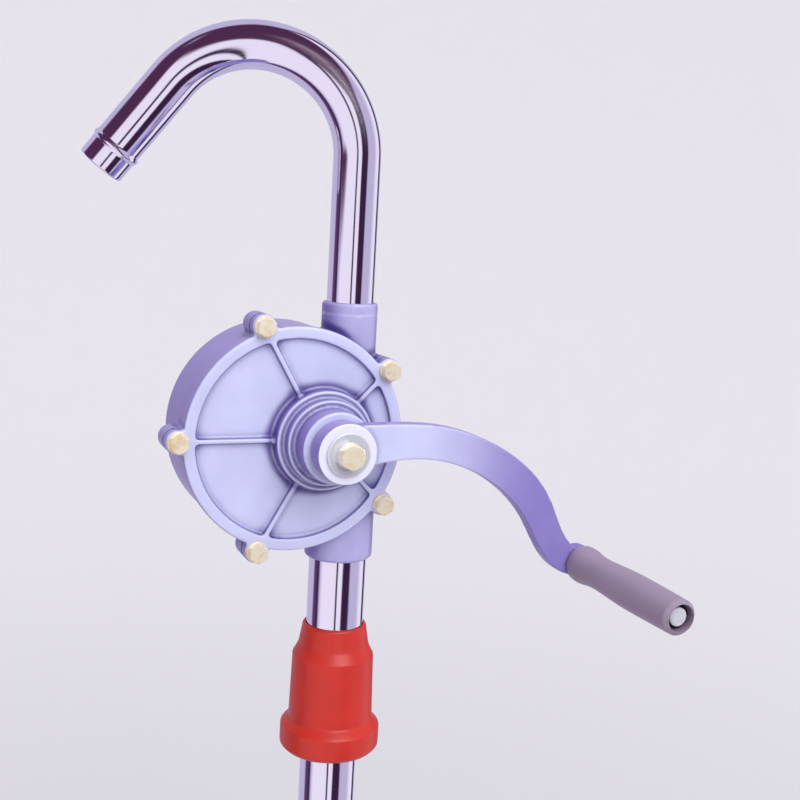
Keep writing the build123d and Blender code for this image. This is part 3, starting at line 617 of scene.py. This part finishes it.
def skin_rings(name, rings, closed, sharp_degrees=28):
    """A mesh over rings of points, with a map of its surface in millimetres.

    closed joins the last ring to the first, for a piece with a bore. Otherwise each end is
    closed by a fan to its middle.
    """
    build = bmesh.new()
    surface = build.loops.layers.uv.new("surface_mm")
    rows = [[build.verts.new(point) for point in ring] for ring in rings]
    count = len(rows[0])
    spans = list(zip(rows, rows[1:] + rows[:1] if closed else rows[1:]))
    travelled = 0.0
    for lower, upper in spans:
        step = sum((a.co - b.co).length for a, b in zip(lower, upper)) / count
        girth = sum((lower[i].co - lower[i - 1].co).length for i in range(count))
        for i in range(count):
            j = (i + 1) % count
            face = build.faces.new((lower[i], lower[j], upper[j], upper[i]))
            places = ((i, 0), (i + 1, 0), (i + 1, 1), (i, 1))
            for loop, (turn, rise) in zip(face.loops, places):
                loop[surface].uv = (turn / count * girth / MM, (travelled + rise * step) / MM)
        travelled += step
    if not closed:
        for row in (rows[0], rows[-1]):
            middle = build.verts.new(sum((v.co for v in row), Vector()) / count)
            for i in range(count):
                face = build.faces.new((row[i], row[(i + 1) % count], middle))
                reach = (row[i].co - middle.co).length / MM
                for loop, place in zip(face.loops, ((i, 0), (i + 1, 0), (i + 0.5, reach))):
                    loop[surface].uv = (place[0] / count * tau * reach, place[1])
    bmesh.ops.recalc_face_normals(build, faces=build.faces)
    mesh = bpy.data.meshes.new(name)
    build.to_mesh(mesh)
    build.free()
    mesh.polygons.foreach_set("use_smooth", [True] * len(mesh.polygons))
    mesh.set_sharp_from_angle(angle=radians(sharp_degrees))
    return mesh


def circle(centre, side, lift, radius, count, flats=0.0):
    """Points round a circle, or round a hexagon where its flats cut the circle."""
    points = []
    for i in range(count):
        angle = tau * i / count
        reach = radius
        if flats:
            reach = min(radius, flats / 2 / cos((angle + pi / 6) % (pi / 3) - pi / 6))
        points.append(centre + (side * cos(angle) + lift * sin(angle)) * reach)
    return points


def turned(name, start, axis, outline, closed, around=96):
    """A piece turned about an axis. The outline is distances along it and radii, in metres, and
    a third number gives the flats of a hexagon."""
    side = Vector((1, 0, 0))
    lift = axis.cross(side)
    rings = [circle(start + axis * row[0], side, lift, row[1], around, *row[2:]) for row in outline]
    return skin_rings(name, rings, closed)


def ring_section(hole, thick, radius, easing):
    """Outline of a flat ring: distances along its axis from its seat, and radii."""
    return softened([(0, hole), (thick, hole), (thick, radius), (0, radius)], easing, True)


def hexagon_bolt(shank, shank_length, height, flats, chamfer):
    """Outline of a bolt, seated at 0, with the corners of its head turned off on top."""
    point = 0.6 * MM
    corner = flats / 2 / cos(pi / 6)
    crown = 0.94 * flats / 2
    rows = [(-shank_length, shank - point), (point - shank_length, shank), (0, shank)]
    rows += [(0.0, corner, flats), (height - chamfer, corner, flats)]
    steps = 5
    for step in range(1, steps + 1):
        share = step / steps
        rows.append((height - chamfer * (1 - share), corner + (crown - corner) * share, flats))
    rows.append((height, 0.35 * flats, flats))
    return rows


def cast_skin(name, node, spacing, passes):
    """The CAD node's shape rebuilt in an even mesh whose corners are eased, as sand leaves them."""
    source = frame["nodes"][node]
    rough = new_object(name + "_rough", source.data.copy())
    even = rough.modifiers.new("Even skin", "REMESH")
    even.mode = "VOXEL"
    even.voxel_size = spacing
    even.use_smooth_shade = True
    ease = rough.modifiers.new("Eased corners", "SMOOTH")
    ease.factor = 0.5
    ease.iterations = passes
    graph = bpy.context.evaluated_depsgraph_get()
    mesh = bpy.data.meshes.new_from_object(rough.evaluated_get(graph))
    bpy.data.objects.remove(rough)
    mesh.name = name
    return mesh


# Pieces -----------------------------------------------------------------------------------


class PUMP_OT_castings(bpy.types.Operator):
    """Casts the pump body, front cover and crank, and paints them"""

    bl_idname = "pump.castings"
    bl_label = "Castings"

    def execute(self, context):
        chosen = context.scene.pump_castings
        # Each coat: the lighter colour's share on front faces, the edge colour (a painted highlight
        # on body and cover, painted shade on the crank), and whether painted shade darkens the
        # crank's far end
        for name, node, body, spacing, coat in (
            ("body_casting", "pump_body", "pump", chosen.skin * 1.2,
             ("sprayed_enamel_on_body_casting", 0.6, chosen.edge)),
            ("cover_casting", "front_cover", "pump", chosen.skin,
             ("sprayed_enamel_on_cover_casting", 1.0, chosen.edge)),
            ("crank_casting", "crank_arm", "crank", chosen.crank_skin,
             ("sprayed_enamel_with_painted_shade_on_crank", 1.0, chosen.crank_edge_painted_shade, True)),
        ):
            mesh = cast_skin(name, node, spacing, chosen.easing)
            add_piece(mesh, body, "casting_paint", finish(casting_enamel, *coat), node)
        return {"FINISHED"}


class PUMP_OT_cover_bolts(bpy.types.Operator):
    """Fits the five bolts and washers of the cover"""

    bl_idname = "pump.cover_bolts"
    bl_label = "Cover bolts"

    def execute(self, context):
        chosen = context.scene.pump_fixings
        bolts_low, bolts_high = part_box("cover_bolts")
        washers_low, washers_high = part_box("cover_washers")
        thick = washers_high.y - washers_low.y
        shank, clearance, easing, chamfer = 3 * MM, 0.3 * MM, 0.3 * MM, 1.1 * MM
        first_turn, turn_between = 36, 72
        circle_radius = casing_place.x - bolts_low.x - chosen.bolt_head / 2 / cos(pi / 6)
        ring = ring_section(shank + clearance, thick, chosen.washer_radius, easing)
        for number in range(360 // turn_between):
            angle = radians(first_turn + turn_between * number)
            place = casing_place + Vector((cos(angle), 0, sin(angle))) * circle_radius
            face = Vector((place.x, washers_high.y, place.z))
            washer = turned(f"cover_washer_{number + 1}", face, FORWARD, ring, True, 72)
            add_piece(washer, "pump", "zinc_steel", zinc(), "cover_washers")
            seat = face + FORWARD * thick
            outline = hexagon_bolt(
                shank, bolts_high.y - seat.y, chosen.bolt_height, chosen.bolt_head, chamfer
            )
            bolt = turned(f"cover_bolt_{number + 1}", seat, FORWARD, outline, False, 72)
            add_piece(bolt, "pump", "zinc_steel", zinc(), "cover_bolts")
        return {"FINISHED"}


class PUMP_OT_crank_fixing(bpy.types.Operator):
    """Fits the washer, spring washer and bolt that hold the crank on its shaft"""

    bl_idname = "pump.crank_fixing"
    bl_label = "Crank fixing"

    def execute(self, context):
        chosen = context.scene.pump_fixings
        washer_low, washer_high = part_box("crank_washer")
        lock_low, lock_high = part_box("crank_lock_washer")
        shank, hole, chamfer = 4 * MM, 4.3 * MM, 1.4 * MM
        seat = Vector((shaft_place.x, washer_high.y, shaft_place.z))
        radius = (washer_high.x - washer_low.x) / 2
        ring = ring_section(hole, washer_high.y - washer_low.y, radius, 0.6 * MM)
        washer = turned("crank_washer_ring", seat, FORWARD, ring, True, 120)
        add_piece(washer, "crank", "bright_steel", steel(), "crank_washer")
        # The spring washer is a ring that is split on top
        split, steps = 1 * MM, 72
        lock_radius = (lock_high.z - lock_low.z) / 2
        face = Vector((shaft_place.x, lock_high.y, shaft_place.z))
        section = ring_section(hole, lock_high.y - lock_low.y, lock_radius, 0.3 * MM)
        gap = split / 2 / lock_radius
        rings = []
        for step in range(steps + 1):
            angle = pi / 2 + gap + (tau - 2 * gap) * step / steps
            out = Vector((cos(angle), 0, sin(angle)))
            rings.append([face + FORWARD * along + out * reach for along, reach in section])
        lock = skin_rings("crank_spring_washer", rings, False)
        add_piece(lock, "crank", "bright_steel", steel(), "crank_lock_washer")
        head_seat = Vector((shaft_place.x, lock_low.y, shaft_place.z))
        shank_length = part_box("crank_bolt")[1].y - lock_low.y
        outline = hexagon_bolt(
            shank, shank_length, chosen.crank_bolt_height, chosen.crank_bolt_head, chamfer
        )
        bolt = turned("crank_fixing_bolt", head_seat, FORWARD, outline, False, 96)
        add_piece(bolt, "crank", "zinc_steel", zinc(), "crank_bolt")
        return {"FINISHED"}


class PUMP_OT_grip(bpy.types.Operator):
    """Moulds the loose sleeve and turns the spindle that it spins on"""

    bl_idname = "pump.grip"
    bl_label = "Grip"

    def execute(self, context):
        chosen = context.scene.pump_grip
        low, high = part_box("grip_sleeve")
        back = Vector((grip_place.x, high.y, grip_place.z))
        span = high.y - low.y
        root_easing, end_easing, lip = 1.5 * MM, 2.5 * MM, 2 * MM
        side = eased(
            [(root_easing, chosen.root_radius), (0.07 * span, chosen.root_radius),
             (0.22 * span, chosen.waist_radius), (0.55 * span, chosen.middle_radius),
             (span - end_easing, chosen.end_radius)], 12,
        )
        outline = [(0, chosen.bore_radius), (0, chosen.root_radius - root_easing), *side]
        recess = span - chosen.recess_depth
        outline += softened(
            [side[-1], (span, chosen.end_radius - lip), (span, chosen.recess_radius),
             (recess, chosen.recess_radius), (recess, chosen.bore_radius)], 1.0 * MM, False,
        )[1:]
        sleeve = turned("grip_moulding", back, FORWARD, outline, True, 120)
        plastic = finish(moulded, "moulded_polypropylene", chosen.plastic, 0.42, 0.9, 0.35, 0.15)
        add_piece(sleeve, "handle_sleeve", "grip_plastic", plastic, "grip_sleeve")
        # The spindle: a thin tail in the crank, a pin and the groove for the clip
        spindle_low, spindle_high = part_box("grip_spindle")
        shoulder = Vector((grip_place.x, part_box("crank_arm")[0].y, grip_place.z))
        front = shoulder.y - spindle_low.y
        tail = spindle_high.y - shoulder.y
        groove_front, groove_back = (shoulder.y - corner.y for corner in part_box("grip_clip"))
        pin, groove, thin = 5 * MM, 4 * MM, 4 * MM
        outline = softened(
            [(-tail, 0.5 * thin), (-tail, thin), (0, thin), (0, pin), (groove_back, pin),
             (groove_back, groove), (groove_front, groove), (groove_front, pin), (front, pin),
             (front, 0.5 * pin)], 0.8 * MM, False, 3,
        )
        spindle = turned("grip_spindle_pin", shoulder, FORWARD, outline, False, 72)
        add_piece(spindle, "crank", "bright_steel", steel(), "grip_spindle")
        return {"FINISHED"}


class PUMP_OT_spout(bpy.types.Operator):
    """Bends the chromed spout, with its bead near the tip"""

    bl_idname = "pump.spout"
    bl_label = "Spout"

    def execute(self, context):
        chosen = context.scene.pump_tubes
        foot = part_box("spout_tube")[0].z
        radius = 13.45 * MM
        inner = radius - chosen.wall
        bend_level = casing_place.z + chosen.bend_level
        rise = bend_level - foot
        arc = chosen.bend_radius * chosen.bend_angle
        total = rise + arc + chosen.leg
        over = Vector((-cos(chosen.heading), sin(chosen.heading), 0))
        across = over.cross(UP)

        def station(distance):
            """Where the tube's middle line is, and which way it runs, so far from its foot."""
            if distance < rise:
                return Vector((0, 0, foot + distance)), UP
            turn = min((distance - rise) / chosen.bend_radius, chosen.bend_angle)
            past = max(distance - rise - arc, 0)
            run = over * sin(turn) + UP * cos(turn)
            middle = Vector((0, 0, bend_level)) + chosen.bend_radius * (
                over * (1 - cos(turn)) + UP * sin(turn)
            )
            return middle + run * past, run

        # The outside: screw's groove in the socket, bend, bead and the tip's rounded edge
        screw_low, screw_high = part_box("spout_set_screw")
        screw_level = (screw_low.z + screw_high.z) / 2 - foot
        groove_half, groove_depth = 2.5 * MM, 1 * MM
        groove_start, groove_end = screw_level - groove_half, screw_level + groove_half
        outline = [
            (0.0, radius), (groove_start, radius), (groove_start, radius - groove_depth),
            (groove_end, radius - groove_depth), (groove_end, radius),
        ]
        fine_step, coarse_step = 0.3 * MM, 2 * MM
        place = groove_end + coarse_step
        bead = total - chosen.bead_place
        edge = chosen.wall / 2
        while place < total - edge:
            near = abs(place - bead) / chosen.bead_width
            lift = chosen.bead_rise * cos(near * pi / 2) ** 1.5 if near < 1 else 0.0
            outline.append((place, radius + lift))
            fine = abs(place - bead) < 2 * chosen.bead_width
            place += fine_step if fine else coarse_step
        for step in range(9):
            angle = pi * step / 8
            outline.append((total - edge + edge * sin(angle), radius - edge + edge * cos(angle)))
        steps = 160
        outline += [
            (total - edge - step * (total - edge) / steps, inner) for step in range(1, steps + 1)
        ]
        rings = []
        for distance, reach in outline:
            middle, run = station(distance)
            rings.append(circle(middle, across, run.cross(across), reach, chosen.around))
        mesh = skin_rings("spout_bend", rings, True)
        add_piece(mesh, "spout", "chrome_tube", chrome(), "spout_tube")
        return {"FINISHED"}


class PUMP_OT_suction_tube(bpy.types.Operator):
    """Turns the suction tube's three lengths and both couplings"""

    bl_idname = "pump.suction_tube"
    bl_label = "Suction tube"

    def execute(self, context):
        chosen = context.scene.pump_tubes
        for place in ("upper", "middle", "lower"):
            node = f"suction_tube_{place}"
            low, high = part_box(node)
            outer = (high.x - low.x) / 2
            inner = outer - chosen.wall
            notch = chosen.foot_notch if place == "lower" else 0.0
            rings = []
            corners = [(low.z, inner), (high.z, inner), (high.z, outer), (low.z, outer)]
            outline = softened(corners, 0.5 * MM, True, 3)
            for level, reach in outline:
                ring = []
                for i in range(chosen.around):
                    angle = tau * i / chosen.around
                    # Half-round notches at the foot, so that it never seals on the drum's floor
                    off = outer * abs(sin(angle % (pi / 2) - pi / 4))
                    near_foot = level - low.z < 1 * MM
                    lift = sqrt(max(notch**2 - off**2, 0)) if near_foot else 0.0
                    ring.append(Vector((reach * cos(angle), reach * sin(angle), level + lift)))
                rings.append(ring)
            mesh = skin_rings(f"suction_length_{place}", rings, True)
            add_piece(mesh, "pump", "chrome_tube", chrome(), node)
        wall, clearance, step_in, half_stop, chamfer = 4 * MM, 0.05 * MM, 2 * MM, 0.8 * MM, 1.2 * MM
        for place in ("upper", "lower"):
            node = f"tube_coupling_{place}"
            low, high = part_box(node)
            outer = (high.x - low.x) / 2
            bore = outer - wall + clearance
            stop = bore - step_in
            middle = (low.z + high.z) / 2
            outline = softened(
                [(low.z, bore), (middle - half_stop, bore), (middle - half_stop, stop),
                 (middle + half_stop, stop), (middle + half_stop, bore), (high.z, bore),
                 (high.z, outer - chamfer), (high.z - chamfer, outer), (low.z + chamfer, outer),
                 (low.z, outer - chamfer)], 0.4 * MM, True, 3,
            )
            mesh = turned(f"coupling_{place}", Vector(), UP, outline, True, chosen.around)
            add_piece(mesh, "pump", "chrome_tube", chrome(), node)
        return {"FINISHED"}


class PUMP_OT_bung_adapter(bpy.types.Operator):
    """Moulds the bung adapter, with its rim, shoulder and neck"""

    bl_idname = "pump.bung_adapter"
    bl_label = "Bung adapter"

    def execute(self, context):
        chosen = context.scene.pump_adapter
        low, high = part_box("bung_adapter")
        ring_low, ring_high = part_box("tube_grip_ring")
        rim, body, bore = (high.x - low.x) / 2, chosen.body_radius, chosen.bore_radius
        rim_top = low.z + chosen.rim_height
        shoulder = rim_top + chosen.body_height
        neck = shoulder + chosen.shoulder_height
        # Below, the moulding is hollow round a core that is open at the foot
        core_top, core = low.z + 13 * MM, bore + 4 * MM
        play = 0.1 * MM
        groove = (ring_high.x - ring_low.x) / 2 + play
        chamfer = chosen.rim_chamfer
        foot_height, foot_flare = 1.5 * MM, 0.6 * MM
        crest_height, crest_taper, crest_edge = 1 * MM, 0.4 * MM, 1.2 * MM
        lip = 0.8 * MM
        outline = softened(
            [(low.z, bore), (low.z, core), (core_top, core), (core_top, body), (low.z, body),
             (low.z, rim - chamfer), (low.z + chamfer, rim), (rim_top - chamfer, rim),
             (rim_top, rim - chamfer), (rim_top + foot_height, body + foot_flare),
             (shoulder - crest_height, body - crest_taper), (shoulder, body - crest_edge),
             (neck, chosen.neck_radius), (high.z - lip, chosen.top_radius),
             (high.z, chosen.top_radius - lip), (high.z, bore), (ring_high.z + play, bore),
             (ring_high.z + play, groove), (ring_low.z - play, groove), (ring_low.z - play, bore)],
            1.2 * MM, True, 5,
        )
        mesh = turned("bung_adapter_moulding", Vector(), UP, outline, True, 144)
        nylon = finish(moulded, "moulded_nylon", chosen.nylon, 0.4, 0.8, 0.2, 0.05)
        add_piece(mesh, "adapter", "red_nylon", nylon, "bung_adapter")
        return {"FINISHED"}


class PUMP_OT_inner_parts(bpy.types.Operator):
    """Gives the rotor, vanes, bushes, seals, gasket, screws, nut and clip their finishes"""

    bl_idname = "pump.inner_parts"
    bl_label = "Inner parts"

    def execute(self, context):
        # name, colour, metallic, roughness, grain in mm, grain depth in mm, the nodes
        finishes = (
            ("machined_cast_iron", "#7C7D80", 1.0, 0.38, 0.7, 0.04, ["rotor"]),
            ("machined_acetal", "#EDEAE0", 0.0, 0.42, 1.5, 0.03, ["vane_upper", "vane_lower"]),
            ("sintered_bronze", "#C59A55", 1.0, 0.42, 0.3, 0.05, ["front_bush", "rear_bush"]),
            ("nitrile_rubber", "#26262A", 0.0, 0.6, 0.6, 0.04,
             ["shaft_seal", "spout_seal", "inlet_seal", "vane_spreader", "tube_grip_ring"]),
            ("pressed_fibre_sheet", "#5C6E66", 0.0, 0.8, 0.5, 0.06, ["cover_gasket"]),
            ("spring_steel", "#B9BCC2", 1.0, 0.3, 0.8, 0.02,
             ["seal_garter", "spout_set_screw", "inlet_set_screw"]),
            ("blackened_spring_steel", "#33272E", 1.0, 0.45, 0.8, 0.02, ["grip_clip"]),
            ("zinc_plated_nut", "#EADFC2", 1.0, 0.34, 0.6, 0.03, ["spindle_nut"]),
        )
        for name, hex_value, metallic, roughness, grain, depth, nodes in finishes:
            material = inner_finish(name, hex_value, metallic, roughness, grain, depth)
            for node in nodes:
                for slot in frame["nodes"][node].material_slots:
                    slot.material = material
        return {"FINISHED"}


class PUMP_OT_stage(bpy.types.Operator):
    """Lays the floor, hangs the lights and sets up the camera"""

    bl_idname = "pump.stage"
    bl_label = "Stage"

    def execute(self, context):
        chosen = context.scene.pump_stage
        scene = context.scene
        # A pale matt floor that sweeps up into a round wall with no corner
        flat, bend, wall_top, steps = 3.5, 2.0, 4.2, 12
        sweep = [(0.0, reach) for reach in (0.02, 1.5, flat)]
        for step in range(1, steps + 1):
            angle = pi / 2 * step / steps
            sweep.append((bend * (1 - cos(angle)), flat + bend * sin(angle)))
        sweep.append((wall_top, flat + bend))
        rings = [circle(UP * rise, Vector((1, 0, 0)), -FORWARD, reach, 96) for rise, reach in sweep]
        floor_mesh = skin_rings("floor", rings, False)
        build = bmesh.new()
        build.from_mesh(floor_mesh)
        open_from = wall_top - bend / 2
        top = [face for face in build.faces if min(v.co.z for v in face.verts) > open_from]
        bmesh.ops.delete(build, geom=top, context="FACES")
        bmesh.ops.reverse_faces(build, faces=build.faces)
        build.to_mesh(floor_mesh)
        build.free()
        floor = new_object("floor", floor_mesh)
        floor.location.z = cad_box[0][2]
        material, tree, in_mm = begin_material("pale_matt_floor")
        # The lights hang over the floor's middle, so its paper is a little darker than the wall's
        middle = add_node(tree, "VectorMath", {"operation": "LENGTH"}, {0: in_mm})
        up_wall = add_node(
            tree, "MapRange",
            {"interpolation_type": "SMOOTHSTEP", "From Min": 300.0, "From Max": 3800.0},
            {"Value": middle.outputs["Value"]},
        )
        paper = add_node(
            tree, "Mix", {"data_type": "RGBA", 6: linear(chosen.floor), 7: linear(chosen.wall)},
            {0: up_wall},
        )
        floor_mesh.materials.append(end_material(
            material, "BsdfPrincipled", {"Roughness": 0.7}, {"Base Color": paper.outputs[2]}
        ))
        floor.visible_glossy = False
        self.hang_lining()
        self.light(scene, chosen)
        self.set_camera(scene, chosen)
        return {"FINISHED"}

    def hang_lining(self):
        """A light tent's lining, which only the polished pieces mirror: white before them, with
        dark strips at both sides and overhead, and lavender for the rest."""
        build = bmesh.new()
        bmesh.ops.create_uvsphere(build, u_segments=96, v_segments=48, radius=1.7)
        bmesh.ops.reverse_faces(build, faces=build.faces)
        mesh = bpy.data.meshes.new("tent_lining")
        build.to_mesh(mesh)
        build.free()
        lining = new_object("tent_lining", mesh)
        material, tree, _ = begin_material("tent_lining_cloth")
        material.cycles.emission_sampling = "NONE"
        place = add_node(tree, "TexCoord").outputs["Object"]
        # Turned so that the ramp's middle lies straight before the pump's front
        spin = add_node(tree, "Mapping", {"Rotation": (0, 0, radians(90))}, {"Vector": place})
        round_about = add_node(tree, "TexGradient", {"gradient_type": "RADIAL"}, {"Vector": spin})
        ramp = add_node(tree, "ValToRGB", links={"Fac": round_about.outputs["Fac"]})
        lavender, white = linear("#C9C2DC"), linear("#FBF6FF")
        dark, plum = linear("#3A2340"), linear("#6A4A78")
        # Degrees round from straight in front, leftwards negative
        strips = (
            (-180, lavender), (-126, lavender), (-120, plum), (-96, dark), (-90, lavender),
            (-78, white), (-24, white), (-21, dark), (-17, dark), (-14, white), (0, white),
            (4, dark), (30, dark), (36, lavender), (70, lavender), (90, white), (105, white),
            (112, dark), (124, dark), (130, lavender), (180, lavender),
        )
        fill_ramp(ramp, [((degrees + 180) / 360, tint) for degrees, tint in strips])
        way = add_node(tree, "VectorMath", {"operation": "NORMALIZE"}, {0: place})
        # Dark round hoods: degrees left of straight in front, degrees up, and radius in degrees
        shade, soft = ramp.outputs["Color"], 4
        for left, up, radius in ((12, 62, 34), (84, 34, 25)):
            towards = Vector((-sin(radians(left)), -cos(radians(left)), 0)) * cos(radians(up))
            towards.z = sin(radians(up))
            nearness = add_node(
                tree, "VectorMath", {"operation": "DOT_PRODUCT", 1: towards}, {0: way},
            )
            hood = add_node(
                tree, "MapRange",
                {"interpolation_type": "SMOOTHSTEP", "From Min": cos(radians(radius + soft)),
                 "From Max": cos(radians(radius - soft))},
                {"Value": nearness.outputs["Value"]},
            )
            shade = add_node(
                tree, "Mix", {"data_type": "RGBA", 7: linear("#54304F")},
                {0: hood, 6: shade},
            ).outputs[2]
        mesh.materials.append(
            end_material(material, "Emission", {"Strength": 1.0}, {"Color": shade})
        )
        for ray in ("camera", "diffuse", "shadow", "transmission", "volume_scatter"):
            setattr(lining, f"visible_{ray}", False)

    def light(self, scene, chosen):
        """A broad key from the front, a wide light above and even light all round."""
        aim = Vector((casing_place.x, 0, casing_place.z))
        for name, place, size, power in (
            ("key_light", Vector((0.35, -1.9, 1.3)), 1.5, chosen.key_power),
            ("top_light", Vector((-0.3, -0.2, 2.2)), 1.8, chosen.top_power),
        ):
            lamp = bpy.data.lights.new(name, "AREA")
            lamp.shape = "SQUARE"
            lamp.size = size
            lamp.energy = power
            holder = new_object(name, lamp)
            holder.location = aim + place
            holder.rotation_euler = (-place).to_track_quat("-Z", "Y").to_euler()
            holder.visible_glossy = name != "top_light"
        world = bpy.data.worlds.new("even_light")
        world.use_nodes = True
        tree = world.node_tree
        tree.nodes.clear()
        light = {"Color": linear("#ECEAF1"), "Strength": chosen.sky}
        add_node(tree, "OutputWorld", links={"Surface": add_node(tree, "Background", light)})
        scene.world = world
        scene.view_settings.view_transform = "Standard"

    def set_camera(self, scene, chosen):
        """Stands the camera to the front's left and above, close enough for strong perspective."""
        camera = bpy.data.cameras.new("camera")
        camera.lens = chosen.lens
        camera.sensor_width = 36
        camera.clip_end = 200
        holder = new_object("camera", camera)
        cover_face = Vector((casing_place.x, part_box("cover_washers")[1].y, casing_place.z))
        holder.location = cover_face + Vector(chosen.stand) * MM
        look = Vector((
            sin(chosen.turn) * cos(chosen.dip), cos(chosen.turn) * cos(chosen.dip), -sin(chosen.dip)
        ))
        aim = look.to_track_quat("-Z", "Y").to_matrix().to_4x4()
        roll = Matrix.Rotation(chosen.roll, 4, "Z")
        holder.matrix_world = Matrix.Translation(holder.location) @ aim @ roll
        scene.camera = holder


piece_operators = (
    PUMP_OT_castings,
    PUMP_OT_cover_bolts,
    PUMP_OT_crank_fixing,
    PUMP_OT_grip,
    PUMP_OT_spout,
    PUMP_OT_suction_tube,
    PUMP_OT_bung_adapter,
    PUMP_OT_inner_parts,
    PUMP_OT_stage,
)


class PUMP_PT_sidebar(bpy.types.Panel):
    """Lists the pump's settings and the operators that build it"""

    bl_idname = "PUMP_PT_sidebar"
    bl_label = "Hand drum pump"
    bl_space_type = "VIEW_3D"
    bl_region_type = "UI"
    bl_category = "Drum pump"

    def draw(self, context):
        for name, group in settings_groups.items():
            box = self.layout.box()
            box.label(text=group.__doc__)
            for key in group.__annotations__:
                box.prop(getattr(context.scene, name), key)
        for operator in piece_operators:
            self.layout.operator(operator.bl_idname)


classes = (*settings_groups.values(), *piece_operators, PUMP_PT_sidebar)


def register():
    for cls in classes:
        bpy.utils.register_class(cls)
    for name, group in settings_groups.items():
        setattr(bpy.types.Scene, name, PointerProperty(type=group))


def unregister():
    for name in settings_groups:
        delattr(bpy.types.Scene, name)
    for cls in reversed(classes):
        bpy.utils.unregister_class(cls)


def main():
    """Registers the add-on and builds every piece in order."""
    register()
    for operator in piece_operators:
        group, name = operator.bl_idname.split(".")
        getattr(getattr(bpy.ops, group), name)()


if __name__ == "__main__":
    main()
